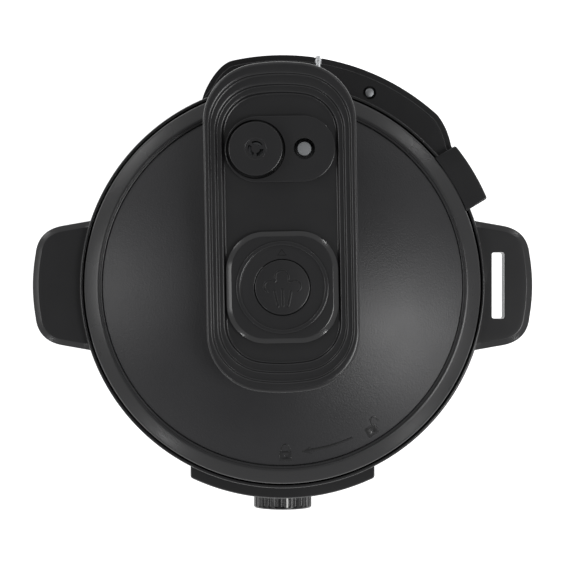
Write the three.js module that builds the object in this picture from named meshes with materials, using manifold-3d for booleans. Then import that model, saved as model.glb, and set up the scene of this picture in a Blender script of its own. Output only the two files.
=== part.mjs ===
// Electric pressure cooker of about six quarts, in millimetres.
// +Z is up, +X is right and the dial faces -Y. The origin is on the pot's axis, at the surface
// that the feet stand on. The lid carries the release button, the steam valve and the float valve.
import * as THREE from 'three';
import { mergeVertices } from 'three/addons/utils/BufferGeometryUtils.js';
import Module from 'manifold-3d';

const wasm = await Module();
wasm.setup();

// ---------------------------------------------------------------- driving sizes
const gap = 0.3; // between pieces that touch
const slide = 0.6; // between pieces that slide in each other
const detail = 36; // sides of a large round piece
const mediumDetail = 24; // sides of a button, a cap or the pot and what holds it
const smallDetail = 12; // sides of a small round piece

const potRadius = 111.5; // outside of the pot's wall
const potDepth = 158;
const potWall = 1.2;
const potLipWidth = 6.5;
const potLipThickness = 2;

const footHeight = 7.7;
const footRadius = 11;
const footInset = 32; // from the housing's wall to a foot's axis
const baseFloor = 3;
const baseWall = 2.5;
const baseHeight = 32;
const baseChamfer = 7;
const chassisHeight = 60; // from the base's underside to the liner's floor
const postRadius = 4;
const postCircle = 82;

const linerWall = 1.2;
const linerClearance = 4.5; // air between the pot and the liner
const heaterHeight = 22.2;
const heaterInset = 17; // the plate is this much smaller in radius than the pot
const sensorRadius = 16.5;
const sensorWall = 2;
const sensorHeight = 14;

const lipClearance = 1.5; // between the pot's lip and the lugs of the lock ring
const lugReach = 6.5;
const lugThickness = 2.5;
const lugCount = 6;
const lugAngle = 20; // degrees
const lugPlay = 0.7;
const lockWall = 2;
const lockRim = 1.3; // the lock ring's wall above its lugs
const lockDepth = 6; // from the pot's lip down to the lock ring's ledge
const shellWall = 1;
const shellInset = 0.1; // the housing's wall inside the rim's opening
const rimClearance = 1.1; // open gap between the lid and the rim
const rimWall = 2.2;
const rimRise = 6; // the rim stands this much above the lock ring
const rimDepth = 42; // the top ring's outer wall
const channelDepth = 8; // from the lock ring's top to the floor that the lid's skirt runs over
const channelFloor = 4;

const sealHeight = 7.4;
const sealWidth = 6.5;
const rackWidth = 2.6;
const plateThickness = 1.5;
const plateCrown = 7; // the lid plate's middle stands this much above its edge
const plateShoulder = 13; // width of the plate's flat edge
const plateSlope = 2.5; // width of the slope from the edge up to the crown
const skirtPlay = 0.8; // between the lock ring and the lid's skirt
const skirtWall = 2.2;
const ringWidth = 10.3; // sloped band of the lid's rim ring
const ringRise = 4.5;
const lidStand = 3.5; // edge of the lid's rim ring above the rim
const skirtDepth = 13; // the ring's skirt below the rim's top
const coverLedge = 1.8; // flat lip inside the sloped band
const coverDrop = 2; // the cover's edge below the ring's lip
const coverWall = 2.5;
const coverRise = 20;
const bossRadius = 4.5;
const lidScrewCircle = 80;
const lidScrewRadius = 1.6;

const islandClearance = 1.5; // under its overhang, above the rim
const islandMargin = 0.8; // from the bezel or the valve panel to the lowest step
const islandRear = 144.5;
const islandFront = 69.3;
const islandCorner = 38;
const islandEndArc = 120;
const islandHeight = 17; // above the crown of the lid's cover
const islandWall = 3;
const stepHeight = 3;
const sideTread = 4.1;
const rearTreads = [7.7, 6.9, 4.9];
const frontTreads = [6.9, 6.1, 5.8];

const valveY = 88.2; // the two valves' line, behind the lid's centre
const valveHalfSpacing = 15.7;
const panelHeight = 5.2;
const capRadius = 17.35;
const capHeight = 13;
const capWall = 2;
const recessClearance = 1.65;
const recessDepth = 3.4;
const panelEndWall = 1.05;
const panelSideWall = 2.4;
const ventRadius = 6.8;
const ventHub = 2.3;
const pipeRadius = 5.5;
const pipeBore = 2.5;
const pipeRise = 32; // of the steam pipe above the lid plate's crown
const weightRadius = 8;
const weightFlange = 10.5;
const floatHead = 4.75;
const floatStem = 2.2;
const floatHole = 6.75;
const floatTravel = 3.5;
const shieldRadius = 13;
const shieldDepth = 13;

const releaseY = -1.2;
const bezelHalf = 36.4;
const bezelCorner = 25.4;
const bezelHeight = 5;
const bezelChamfer = 3.6;
const raisedRingOuter = 29.9;
const raisedRingInner = 27.1;
const raisedRingHeight = 1.2;
const buttonRadius = 17.8;
const buttonThickness = 2.5;
const buttonSkirt = 9;
const buttonSkirtWall = 1.5;
const buttonStroke = 3.5;
const leverPivotY = 56;
const leverHalfWidth = 4;
const leverDrop = 2; // below the top of the cover
const leverThickness = 3.4;
const leverPinRadius = 2;

const tabAngle = 30; // degrees from +X, on the lid
const tabWidth = 40.8;
const tabClearance = 1; // over the rim
const tabThickness = 5.2; // outside the rim
const tabNeck = 2.2; // over the rim
const tongueThickness = 1.6;
const tabReach = 16; // beyond the lid's edge
const tongueWidth = 24;
const lidClocking = 1; // degrees that the closed lid stands past square

const handleDrop = 6; // handle tops below the rim
const handleDepth = 26;
const handleHalf = 43.3;
const handleReach = 31.9;
const handleWall = 3;
const slotInset = 4.7; // from the rim to the lid slot
const slotClearance = 3.3;

const collarDrop = 4;
const collarDepth = 26;
const collarReach = 18.9;
const collarWall = 3;
const collarStart = 36.5; // degrees, all of them from +X
const collarShoulder = 47.9;
const collarTurn = 102.6;
const collarEnd = 115;
const plungerAngle = 65.7;
const plungerInset = 6; // from the rim's outside to the plunger's axis
const plungerRadius = 3.2;
const plungerHole = 4.375;
const plungerFlange = 4.8;
const plungerStroke = 3;
const steelPinAngle = 81.1;
const steelPinRadius = 2.4;
const steelPinLength = 8.4;
const steelPinReach = 1.1; // beyond the collar's edge

const fasciaReach = 7.8;
const fasciaHalfAngle = 25.6;
const fasciaFlare = 2; // degrees more at its root
const fasciaRise = 26; // its bottom above the base's top
const fasciaDrop = 12; // its top below the rim
const fasciaWall = 2.5;
const windowHalfAngle = 16;
const windowDrop = 28; // its top below the fascia's top
const windowHeight = 62;
const dialDrop = 40; // its axis below the window
const dialRadius = 20.7;
const dialFluteDepth = 0.9;
const dialFlutes = 28;
const dialReach = 17.9; // its front beyond the fascia
const shaftRadius = 3;

const cupReach = 28; // its rear beyond the housing's wall
const cupHalf = 30;
const cupDrop = 74; // its top below the top ring
const cupHeight = 34;
const cupWall = 2;
const cupFlange = 2.2;

const inletHalf = 15;
const inletHeight = 20;
const inletReach = 4.5;

const springWire = 0.5;

// ---------------------------------------------------------------- sizes that follow
const lipRadius = potRadius + potLipWidth;
const lugInner = lipRadius + lipClearance;
const plateRadius = lugInner - lugPlay;
const lockInner = lugInner + lugReach;
const lidLugRadius = lockInner - lugPlay;
const lockRadius = lockInner + lockWall;
const skirtInner = lockRadius + skirtPlay;
const lidRadius = skirtInner + skirtWall;
const rimInner = lidRadius + rimClearance;
const rimRadius = rimInner + rimWall;
const shellRadius = rimInner - shellInset;
const linerInner = potRadius + linerClearance;
const linerRadius = linerInner + linerWall;
const footCircle = shellRadius - footInset;

const baseZ = footHeight + gap;
const baseTop = baseZ + baseHeight;
const linerZ = baseZ + chassisHeight;
const heaterZ = linerZ + linerWall + gap;
const heaterTop = heaterZ + heaterHeight;
const potZ = heaterTop + gap;
const potTop = potZ + potDepth;
const sealZ = potTop + gap;
const plateZ = sealZ + sealHeight + gap;
const plateTop = plateZ + plateThickness;
const lugZ = plateTop + lugPlay;
const lockTop = lugZ + lugThickness + lockRim;
const rimTop = lockTop + rimRise;
const channelZ = lockTop - channelDepth;
const lockLedgeZ = potTop - lockDepth;
const crownZ = plateZ + plateCrown;
const crownTop = crownZ + plateThickness;
const ringEdgeZ = rimTop + lidStand;
const ringTop = ringEdgeZ + ringRise;
const coverEdge = lidRadius - ringWidth - coverLedge - gap;
const coverEdgeZ = ringTop - coverDrop;
const coverTop = coverEdgeZ + coverRise;
const islandBottom = rimTop + islandClearance;
const islandTop = coverTop + islandHeight;
const islandFloor = islandTop - 3 * stepHeight;
const islandCeiling = islandFloor - islandWall;
const panelZ = islandFloor + gap;
const panelTop = panelZ + panelHeight;
const recessFloor = panelTop - recessDepth;
const recessRadius = capRadius + recessClearance;
const panelHalfLength = valveHalfSpacing + recessRadius + panelEndWall;
const panelHalfWidth = recessRadius + panelSideWall;
const stepsWidth = rearTreads.length * sideTread;
const islandHalfWidth = Math.max(panelHalfLength, bezelHalf) + islandMargin + stepsWidth;
const pipeTop = crownZ + pipeRise;
const leverTop = coverTop - leverDrop;
const leverZ = leverTop - leverThickness;
const slotWidth = tabThickness + slotClearance;
const slotLength = tabWidth + slotClearance;
const handleTop = rimTop - handleDrop;
const collarTop = rimTop - collarDrop;
const fasciaRadius = rimRadius + fasciaReach;
const fasciaTop = rimTop - fasciaDrop;
const fasciaBottom = baseTop + fasciaRise;
const windowTop = fasciaTop - windowDrop;
const windowBottom = windowTop - windowHeight;
const dialZ = windowBottom - dialDrop;
const dialFace = fasciaRadius + dialReach;
const cupFace = shellRadius + cupReach;
const cupTop = rimTop - rimDepth - cupDrop;
const cupBottom = cupTop - cupHeight;

// ---------------------------------------------------------------- materials
function finish(color, roughness, metalness = 0) {
  return new THREE.MeshStandardMaterial({ color, roughness, metalness, flatShading: true });
}
const mattePlastic = finish(0x2c2c2e, 0.55);
const satinPlastic = finish(0x3c3c3e, 0.4);
const glossPlastic = finish(0x141416, 0.15);
const innerPlastic = finish(0x3a3a3c, 0.7);
const stainless = finish(0xb9bbbd, 0.3, 1);
const spunSteel = finish(0xc9cbcc, 0.22, 1);
const castAluminium = finish(0x9da0a2, 0.5, 1);
const silicone = finish(0xd8d8d2, 0.6);
const rubber = finish(0x1e1e1f, 0.85);
const smokedPanel = finish(0x0c0d10, 0.05);
const circuitBoard = finish(0x1f5a36, 0.5);

// ---------------------------------------------------------------- geometry helpers
const radians = THREE.MathUtils.degToRad;

function polar(radius, degrees) {
  return [radius * Math.cos(radians(degrees)), radius * Math.sin(radians(degrees))];
}

// One closed indexed mesh: shared corners merged, and the slivers at a turned piece's poles dropped.
function weld(geometry) {
  const bare = geometry.clone();
  bare.deleteAttribute('normal');
  bare.deleteAttribute('uv');
  const merged = mergeVertices(bare, 1e-4);
  const corners = merged.index.array;
  const kept = [];
  for (let i = 0; i < corners.length; i += 3) {
    const [a, b, c] = corners.slice(i, i + 3);
    if (a !== b && b !== c && c !== a) kept.push(a, b, c);
  }
  merged.setIndex(kept);
  return merged;
}

function toSolid(geometry) {
  const mesh = weld(geometry);
  const vertProperties = new Float32Array(mesh.attributes.position.array);
  const triVerts = new Uint32Array(mesh.index.array);
  return new wasm.Manifold(new wasm.Mesh({ numProp: 3, vertProperties, triVerts }));
}

function fromSolid(solid) {
  const mesh = solid.getMesh();
  const geometry = new THREE.BufferGeometry();
  geometry.setAttribute('position', new THREE.BufferAttribute(new Float32Array(mesh.vertProperties), 3));
  geometry.setIndex(Array.from(mesh.triVerts));
  return geometry;
}

function join(first, ...others) {
  return fromSolid(others.reduce((sum, other) => sum.add(toSolid(other)), toSolid(first)));
}

function cut(first, ...others) {
  return fromSolid(others.reduce((rest, other) => rest.subtract(toSolid(other)), toSolid(first)));
}

// A solid turned about Z from a list of [radius, height] points.
function turned(profile, sides = smallDetail) {
  let area = 0;
  profile.forEach(([r, z], i) => {
    const [nextR, nextZ] = profile[(i + 1) % profile.length];
    area += r * nextZ - nextR * z;
  });
  const ordered = area > 0 ? [...profile] : [...profile].reverse();
  const onAxis = ordered.filter(([r]) => r === 0).length > 0;
  if (onAxis) {
    while (!(ordered[0][0] === 0 && ordered[ordered.length - 1][0] === 0)) ordered.push(ordered.shift());
  } else {
    ordered.push(ordered[0]);
  }
  const points = ordered.map(([r, z]) => new THREE.Vector2(r, z));
  return new THREE.LatheGeometry(points, sides).rotateX(Math.PI / 2);
}

function rod(radius, bottom, top, [x, y] = [0, 0], sides = smallDetail) {
  return turned([[0, bottom], [radius, bottom], [radius, top], [0, top]], sides).translate(x, y, 0);
}

function tube(inner, outer, bottom, top, sides = smallDetail) {
  return turned([[inner, bottom], [outer, bottom], [outer, top], [inner, top]], sides);
}

// A rod along +X from x0 to x1, or along -Y or any way that the caller turns it.
function crossRod(radius, x0, x1, y, z, sides = smallDetail) {
  return rod(radius, x0, x1, [0, 0], sides).rotateY(Math.PI / 2).translate(0, y, z);
}

function box(x0, x1, y0, y1, z0, z1) {
  return new THREE.BoxGeometry(x1 - x0, y1 - y0, z1 - z0)
    .translate((x0 + x1) / 2, (y0 + y1) / 2, (z0 + z1) / 2);
}

function prism(shape, bottom, top, curveSegments = 6) {
  return new THREE.ExtrudeGeometry(shape, { depth: top - bottom, bevelEnabled: false, curveSegments })
    .translate(0, 0, bottom);
}

// A piece of a flat ring between two angles in degrees.
function sector(inner, outer, from, to) {
  const shape = new THREE.Shape();
  shape.absarc(0, 0, outer, radians(from), radians(to), false);
  shape.absarc(0, 0, inner, radians(to), radians(from), true);
  shape.closePath();
  return shape;
}

function roundedBox(halfX, halfY, corner) {
  const shape = new THREE.Shape();
  shape.absarc(halfX - corner, halfY - corner, corner, 0, Math.PI / 2);
  shape.absarc(corner - halfX, halfY - corner, corner, Math.PI / 2, Math.PI);
  shape.absarc(corner - halfX, corner - halfY, corner, Math.PI, 1.5 * Math.PI);
  shape.absarc(halfX - corner, corner - halfY, corner, 1.5 * Math.PI, 2 * Math.PI);
  shape.closePath();
  return shape;
}

class Helix extends THREE.Curve {
  constructor(radius, bottom, top, turns) {
    super();
    Object.assign(this, { radius, bottom, top, turns });
  }

  getPoint(t, target = new THREE.Vector3()) {
    const angle = 2 * Math.PI * this.turns * t;
    const height = this.bottom + (this.top - this.bottom) * t;
    return target.set(this.radius * Math.cos(angle), this.radius * Math.sin(angle), height);
  }
}

function coilSpring(radius, bottom, top, turns) {
  const section = new THREE.Shape();
  section.absarc(0, 0, springWire, 0, 2 * Math.PI);
  const extrudePath = new Helix(radius, bottom + springWire, top - springWire, turns);
  const steps = turns * 8;
  return new THREE.ExtrudeGeometry(section, { extrudePath, steps, curveSegments: 2, bevelEnabled: false });
}

const cooker = new THREE.Group();
const lid = new THREE.Group();
lid.rotation.z = radians(lidClocking);
cooker.add(lid);

function piece(name, geometry, material, parent = cooker) {
  const mesh = new THREE.Mesh(weld(geometry), material);
  mesh.name = name;
  parent.add(mesh);
  return mesh;
}

// ---------------------------------------------------------------- base, feet and electronics
function makeBase() {
  const baseRadius = shellRadius + 1;
  const plate = turned([
    [0, baseZ], [baseRadius - baseChamfer, baseZ], [baseRadius, baseZ + baseChamfer],
    [baseRadius, baseTop], [baseRadius - baseWall, baseTop],
    [baseRadius - baseWall, baseZ + baseChamfer + 1],
    [baseRadius - baseChamfer - 1, baseZ + baseFloor], [0, baseZ + baseFloor],
  ], detail);
  const inletZ = baseZ + baseFloor + 4;
  const inletOpening = box(
    -inletHalf - gap, inletHalf + gap,
    baseRadius - 12, baseRadius + 5,
    inletZ - gap, inletZ + inletHeight + gap,
  );
  const ventSlots = [];
  for (let i = -3; i <= 3; i += 1) {
    ventSlots.push(box(9 * i - 2, 9 * i + 2, -20, 20, baseZ - 1, baseZ + baseFloor + 1));
  }
  const postHoles = postPlaces().map((place) => rod(lidScrewRadius + gap, baseZ - 1, baseZ + 5, place, 10));
  piece('base_plate', cut(plate, inletOpening, ...ventSlots, ...postHoles), mattePlastic);

  const inletFace = baseRadius + inletReach;
  const inletBody = box(-inletHalf, inletHalf, inletFace - 20, inletFace, inletZ, inletZ + inletHeight);
  const socket = box(
    3 - inletHalf, inletHalf - 3,
    inletFace - 16, inletFace + 1,
    inletZ + 3, inletZ + inletHeight - 3,
  );
  const blades = [-7, 0, 7].map((x) => {
    const z = inletZ + inletHeight / 2 + (x === 0 ? 2 : -2);
    return box(x - 1, x + 1, inletFace - 17, inletFace - 3, z - 2.5, z + 2.5);
  });
  piece('power_inlet', join(cut(inletBody, socket), ...blades), innerPlastic);

  const footTurns = [['front_left', -135], ['front_right', -45], ['rear_left', 135], ['rear_right', 45]];
  footTurns.forEach(([where, turn]) => {
    const foot = turned([
      [0, 0], [footRadius - 1.5, 0], [footRadius, 1.5], [footRadius, footHeight], [0, footHeight],
    ]);
    const [x, y] = polar(footCircle, turn);
    piece(`foot_${where}`, foot.translate(x, y, 0), rubber);
  });

  postPlaces().forEach((place, i) => {
    const bottom = baseZ + baseFloor + gap;
    const post = cut(
      rod(postRadius, bottom, linerZ - gap, place, 12),
      rod(lidScrewRadius + gap, bottom - 1, bottom + 12, place, 10),
    );
    piece(`chassis_post_${i + 1}`, post, stainless);
    const screw = join(
      rod(3.4, baseZ - 2, baseZ - gap, place, 12),
      rod(lidScrewRadius, baseZ - 1, bottom + 10, place, 10),
    );
    piece(`base_screw_${i + 1}`, screw, stainless);
  });
}

function postPlaces() {
  return [30, 150, 270].map((turn) => polar(postCircle, turn));
}

function makePowerBoard() {
  const bottom = baseZ + baseFloor + 4;
  const top = bottom + 1.6;
  const standoffs = [[-38, -62], [38, -62], [-38, -36], [38, -36]]
    .map((place) => rod(2.5, baseZ + baseFloor + gap, bottom + 0.5, place, 8));
  piece('power_board', join(
    box(-42, 42, -66, -32, bottom, top),
    box(-34, -12, -60, -40, top - 0.5, top + 16),
    box(8, 26, -58, -44, top - 0.5, top + 12),
    rod(5, top - 0.5, top + 18, [-2, -50], 12),
    ...standoffs,
  ), circuitBoard);
}

// ---------------------------------------------------------------- housing and cooking chamber
function makeHousing() {
  const shellTop = channelZ - channelFloor - gap;
  const wall = tube(shellRadius - shellWall, shellRadius, baseTop + gap, shellTop, detail);
  piece('housing_shell', wall, stainless);

  const skirtBottom = rimTop - rimDepth;
  const topRing = turned([
    [rimRadius, skirtBottom], [rimRadius, rimTop], [rimInner, rimTop], [rimInner, channelZ],
    [lockRadius + gap, channelZ], [lockRadius + gap, channelZ - channelFloor],
    [shellRadius + gap, channelZ - channelFloor], [shellRadius + gap, skirtBottom],
  ], detail);
  piece('top_ring', topRing, mattePlastic);

  const linerTop = lockLedgeZ - gap;
  const liner = turned([
    [0, linerZ], [linerRadius, linerZ], [linerRadius, linerTop], [linerInner, linerTop],
    [linerInner, linerZ + linerWall], [0, linerZ + linerWall],
  ], mediumDetail);
  piece('inner_liner', liner, castAluminium);

  const ledge = turned([
    [linerInner, lockLedgeZ], [lockRadius, lockLedgeZ], [lockRadius, lockTop], [lockInner, lockTop],
    [lockInner, lockLedgeZ + lockWall], [linerInner, lockLedgeZ + lockWall],
  ], detail);
  const lugs = lugSectors(lugInner, lockInner + 1, lugZ, lugZ + lugThickness, lidClocking);
  piece('lock_ring', join(ledge, ...lugs), stainless);
}

// Bayonet lugs, one every sixth of a turn.
function lugSectors(inner, outer, bottom, top, phase) {
  const lugs = [];
  for (let i = 0; i < lugCount; i += 1) {
    const middle = phase + (360 / lugCount) * i;
    lugs.push(prism(sector(inner, outer, middle - lugAngle / 2, middle + lugAngle / 2), bottom, top, 2));
  }
  return lugs;
}

function makeHeater() {
  const heaterRadius = potRadius - heaterInset;
  const wellRadius = sensorRadius + slide + gap;
  const plate = turned([
    [wellRadius, heaterZ], [heaterRadius - 6, heaterZ], [heaterRadius, heaterZ + 8],
    [heaterRadius, heaterTop], [wellRadius, heaterTop],
  ], mediumDetail);
  piece('heating_plate', plate, castAluminium);

  const sensor = turned([
    [0, heaterTop], [sensorRadius, heaterTop], [sensorRadius, heaterTop - sensorHeight],
    [sensorRadius - sensorWall, heaterTop - sensorHeight],
    [sensorRadius - sensorWall, heaterTop - sensorWall], [0, heaterTop - sensorWall],
  ], mediumDetail);
  piece('temperature_sensor', sensor, spunSteel);
  const springTop = heaterTop - sensorWall - gap;
  piece('sensor_spring', coilSpring(sensorRadius - 6, linerZ + linerWall + gap, springTop, 5), stainless);
}

function makePot() {
  const inside = potRadius - potWall;
  const pot = turned([
    [0, potZ], [potRadius - 14, potZ], [potRadius - 4, potZ + 4], [potRadius, potZ + 14],
    [potRadius, potTop - potLipThickness], [lipRadius, potTop - potLipThickness],
    [lipRadius, potTop], [inside, potTop], [inside, potZ + 14 + potWall],
    [inside - 4, potZ + 4 + potWall], [inside - 14, potZ + 2 * potWall], [0, potZ + 2 * potWall],
  ], mediumDetail);
  piece('inner_pot', pot, spunSteel);
}

// ---------------------------------------------------------------- handles, collar and plunger
// Outline of a handle on the +X side; its edges stand inset from the outer faces.
function handleOutline(inset, rootRadius) {
  const half = handleHalf - inset;
  const rootTurn = THREE.MathUtils.radToDeg(Math.asin(half / rootRadius));
  const shoulder = [rimRadius + 12.1 - 0.4 * inset, handleHalf - 3.5 - inset];
  const outer = [rimRadius + handleReach - 1.8 - inset, handleHalf / 2 - 0.8 - 0.6 * inset];
  const shape = new THREE.Shape();
  shape.absarc(0, 0, rootRadius, radians(rootTurn), radians(-rootTurn), true);
  shape.lineTo(shoulder[0], -shoulder[1]);
  shape.quadraticCurveTo(outer[0] - 1.5, -shoulder[1] + 3, outer[0], -outer[1]);
  shape.quadraticCurveTo(outer[0] + 3.6, 0, outer[0], outer[1]);
  shape.quadraticCurveTo(outer[0] - 1.5, shoulder[1] - 3, shoulder[0], shoulder[1]);
  shape.closePath();
  return shape;
}

function makeHandles() {
  const root = rimRadius + gap;
  const bottom = handleTop - handleDepth;
  const outer = prism(handleOutline(0, root), bottom, handleTop, 5);
  const cavity = prism(handleOutline(handleWall, root + handleWall), bottom - 1, handleTop - handleWall, 5);
  piece('left_handle', cut(outer, cavity).rotateZ(Math.PI), mattePlastic);

  const x = rimRadius + slotInset;
  const half = slotLength / 2;
  const wall = 2;
  const chute = box(x - wall, x + slotWidth + wall, -half - wall, half + wall, bottom + 4, handleTop - 1);
  const slot = box(x, x + slotWidth, -half, half, bottom - 1, handleTop + 1);
  piece('right_handle', cut(join(cut(outer, cavity), chute), slot), mattePlastic);
}

function collarOutline(outer, inner) {
  const shape = new THREE.Shape();
  const nose = rimRadius + 11.1;
  shape.moveTo(...polar(inner, collarStart));
  shape.lineTo(...polar(nose - 5, collarStart));
  shape.quadraticCurveTo(...polar(nose - 0.3, collarStart + 0.4), ...polar(nose, collarStart + 3));
  shape.quadraticCurveTo(...polar(outer - 1, collarStart + 7.5), ...polar(outer, collarShoulder));
  shape.absarc(0, 0, outer, radians(collarShoulder), radians(collarTurn), false);
  shape.bezierCurveTo(
    ...polar(outer + 0.2, collarTurn + 3.4),
    ...polar(outer - 10.7, collarEnd - 4),
    ...polar(inner + 0.9, collarEnd - 1.6),
  );
  shape.lineTo(...polar(inner, collarEnd));
  shape.absarc(0, 0, inner, radians(collarEnd), radians(collarStart), true);
  shape.closePath();
  return shape;
}

function makeCollar() {
  const inner = rimRadius + gap;
  const outer = rimRadius + collarReach;
  const bottom = collarTop - collarDepth;
  const plungerPlace = polar(rimRadius + plungerInset, plungerAngle);
  const pocketTop = collarTop - collarWall;
  const cavity = sector(inner + collarWall, outer - collarWall, collarShoulder + 2, collarTurn - 2);
  const [pinX, pinY] = polar(outer, steelPinAngle);
  const pinEnd = pinY + steelPinReach;
  const notch = box(
    pinX - steelPinRadius - gap, pinX + steelPinRadius + gap,
    pinEnd - steelPinLength - gap, outer + 3,
    collarTop - 2 * steelPinRadius - 2 * gap, collarTop + 1,
  );
  piece('rear_collar', cut(
    prism(collarOutline(outer, inner), bottom, collarTop, 6),
    prism(cavity, bottom - 1, pocketTop, 4),
    rod(plungerFlange + gap, bottom - 1, pocketTop, plungerPlace),
    rod(plungerHole, bottom, collarTop + 1, plungerPlace),
    notch,
  ), mattePlastic);

  const steelPin = turned([
    [0, -steelPinLength], [steelPinRadius, -steelPinLength],
    [steelPinRadius, -1.2], [steelPinRadius - 0.8, -1.2], [steelPinRadius - 0.8, 0], [0, 0],
  ]).rotateX(-Math.PI / 2).translate(pinX, pinEnd, collarTop - steelPinRadius - gap);
  piece('rear_stop_pin', steelPin, stainless);

  const flangeTop = pocketTop - gap;
  const switchTop = bottom + 9;
  const stemEnd = switchTop + gap + plungerStroke;
  const plunger = turned([
    [0, collarTop + 1], [plungerRadius - 1.2, collarTop + 0.7], [plungerRadius, collarTop - 0.6],
    [plungerRadius, flangeTop], [plungerFlange, flangeTop], [plungerFlange, flangeTop - 1.4],
    [plungerRadius - 0.6, flangeTop - 1.4], [plungerRadius - 0.6, stemEnd], [0, stemEnd],
  ]);
  piece('lid_sensor_pin', plunger.translate(...plungerPlace, 0), stainless);
  const spring = coilSpring(plungerFlange - 1.2, switchTop + gap, flangeTop - 1.4 - gap, 4);
  piece('pin_spring', spring.translate(...plungerPlace, 0), stainless);
  const switchBody = box(-5, 5, -4.5, 4.5, bottom + 1, switchTop)
    .rotateZ(radians(plungerAngle))
    .translate(...polar(rimRadius + plungerInset + 3.6, plungerAngle), 0);
  piece('lid_switch', switchBody, innerPlastic);
}

// ---------------------------------------------------------------- front panel
function makeFront() {
  const front = -90;
  const wallAngle = THREE.MathUtils.radToDeg(fasciaWall / fasciaRadius);
  const skirtBottom = rimTop - rimDepth;
  const rootAngle = fasciaHalfAngle + fasciaFlare;
  const outline = new THREE.Shape();
  const [left, right] = [front - fasciaHalfAngle, front + fasciaHalfAngle];
  outline.absarc(0, 0, fasciaRadius, radians(left), radians(right), false);
  outline.absarc(0, 0, shellRadius + gap, radians(front + rootAngle), radians(front - rootAngle), true);
  outline.closePath();
  const shell = prism(outline, fasciaBottom, fasciaTop, 6);
  const hollow = prism(
    sector(
      shellRadius - 4, fasciaRadius - fasciaWall,
      front - fasciaHalfAngle + wallAngle, front + fasciaHalfAngle - wallAngle,
    ),
    fasciaBottom + fasciaWall, fasciaTop - fasciaWall, 6,
  );
  const ringRoom = rod(rimRadius + gap, skirtBottom - gap, fasciaTop + 1, [0, 0], detail);
  const opening = prism(
    sector(fasciaRadius - 5, fasciaRadius + 5, front - windowHalfAngle, front + windowHalfAngle),
    windowBottom, windowTop, 6,
  );
  const shaftHole = crossRod(shaftRadius + slide, -fasciaRadius - 5, -fasciaRadius + 8, 0, dialZ)
    .rotateZ(Math.PI / 2);
  piece('front_fascia', cut(shell, hollow, ringRoom, opening, shaftHole), glossPlastic);

  const paneAngle = windowHalfAngle - THREE.MathUtils.radToDeg(gap / fasciaRadius);
  piece('display_window', prism(
    sector(fasciaRadius - 2.2, fasciaRadius - 0.2, front - paneAngle, front + paneAngle),
    windowBottom + gap, windowTop - gap, 6,
  ), smokedPanel);

  const boardBack = -shellRadius - 1;
  const boardFront = boardBack - 1.6;
  piece('control_board', box(
    -28, 28, boardFront, boardBack, fasciaBottom + 12, windowTop - 4,
  ), circuitBoard);

  const encoderFront = -fasciaRadius + fasciaWall + gap;
  const shaftEnd = dialFace - 6;
  piece('dial_encoder', join(
    box(-6.5, 6.5, encoderFront, boardFront - gap, dialZ - 6.5, dialZ + 6.5),
    crossRod(shaftRadius, -shaftEnd, encoderFront + 1, 0, dialZ).rotateZ(Math.PI / 2),
  ), innerPlastic);

  const dialBack = fasciaRadius + 1;
  const rim = new THREE.Shape();
  for (let i = 0; i < 2 * dialFlutes; i += 1) {
    const radius = i % 2 === 0 ? dialRadius : dialRadius - dialFluteDepth;
    const [x, y] = polar(radius, 90 + (180 / dialFlutes) * i);
    if (i === 0) rim.moveTo(x, y);
    else rim.lineTo(x, y);
  }
  rim.closePath();
  const bore = rod(shaftRadius + gap, dialBack - 1, shaftEnd + gap);
  const hollowBack = tube(shaftRadius + 3, dialRadius - 3.5, dialBack - 1, dialFace - 4);
  const dial = cut(prism(rim, dialBack, dialFace), bore, hollowBack)
    .rotateX(Math.PI / 2)
    .translate(0, 0, dialZ);
  piece('dial_knob', dial, mattePlastic);
}

// ---------------------------------------------------------------- condensation cup
function makeCup() {
  const top = cupTop;
  const back = shellRadius + gap;
  const edge = shellRadius - 20;
  const curve = rod(back + 0.7, cupBottom - 2, top + 9, [0, 0], detail);
  const hollowCurve = rod(back + cupWall + 0.7, cupBottom - 2, top + 9, [0, 0], detail);
  const body = prism(roundedBox(cupHalf, 40, 8), cupBottom, top, 3).translate(0, cupFace - 40, 0);
  const flangeEnd = cupFace - 8;
  const flange = box(-cupHalf - cupFlange, cupHalf + cupFlange, edge, flangeEnd, top - 2, top);
  const room = cut(
    prism(roundedBox(cupHalf - cupWall, 40, 6), cupBottom + cupWall, top + 1, 3)
      .translate(0, cupFace - cupWall - 40, 0),
    hollowCurve,
  );
  piece('condensation_cup', cut(join(body, flange), curve, room), satinPlastic);

  const reach = cupHalf + cupFlange;
  const rail = (side) => join(
    box(reach + slide, reach + slide + 2.4, edge, flangeEnd - 4, top - 5, top + slide + 3),
    box(cupHalf + slide, reach + slide + 1, edge, flangeEnd - 4, top - 5, top - 2 - slide),
  ).rotateZ(side > 0 ? 0 : Math.PI).translate(0, side > 0 ? 0 : edge + flangeEnd - 4, 0);
  const half = reach + slide + 2.4;
  const roof = box(-half, half, edge, flangeEnd - 4, top + slide, top + slide + 3);
  piece('cup_bracket', cut(
    join(roof, rail(1), rail(-1)),
    rod(back, cupBottom - 2, top + 9, [0, 0], detail),
    rod(5, top - 1, top + 9, [0, back + 9]),
  ), mattePlastic);
}

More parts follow.
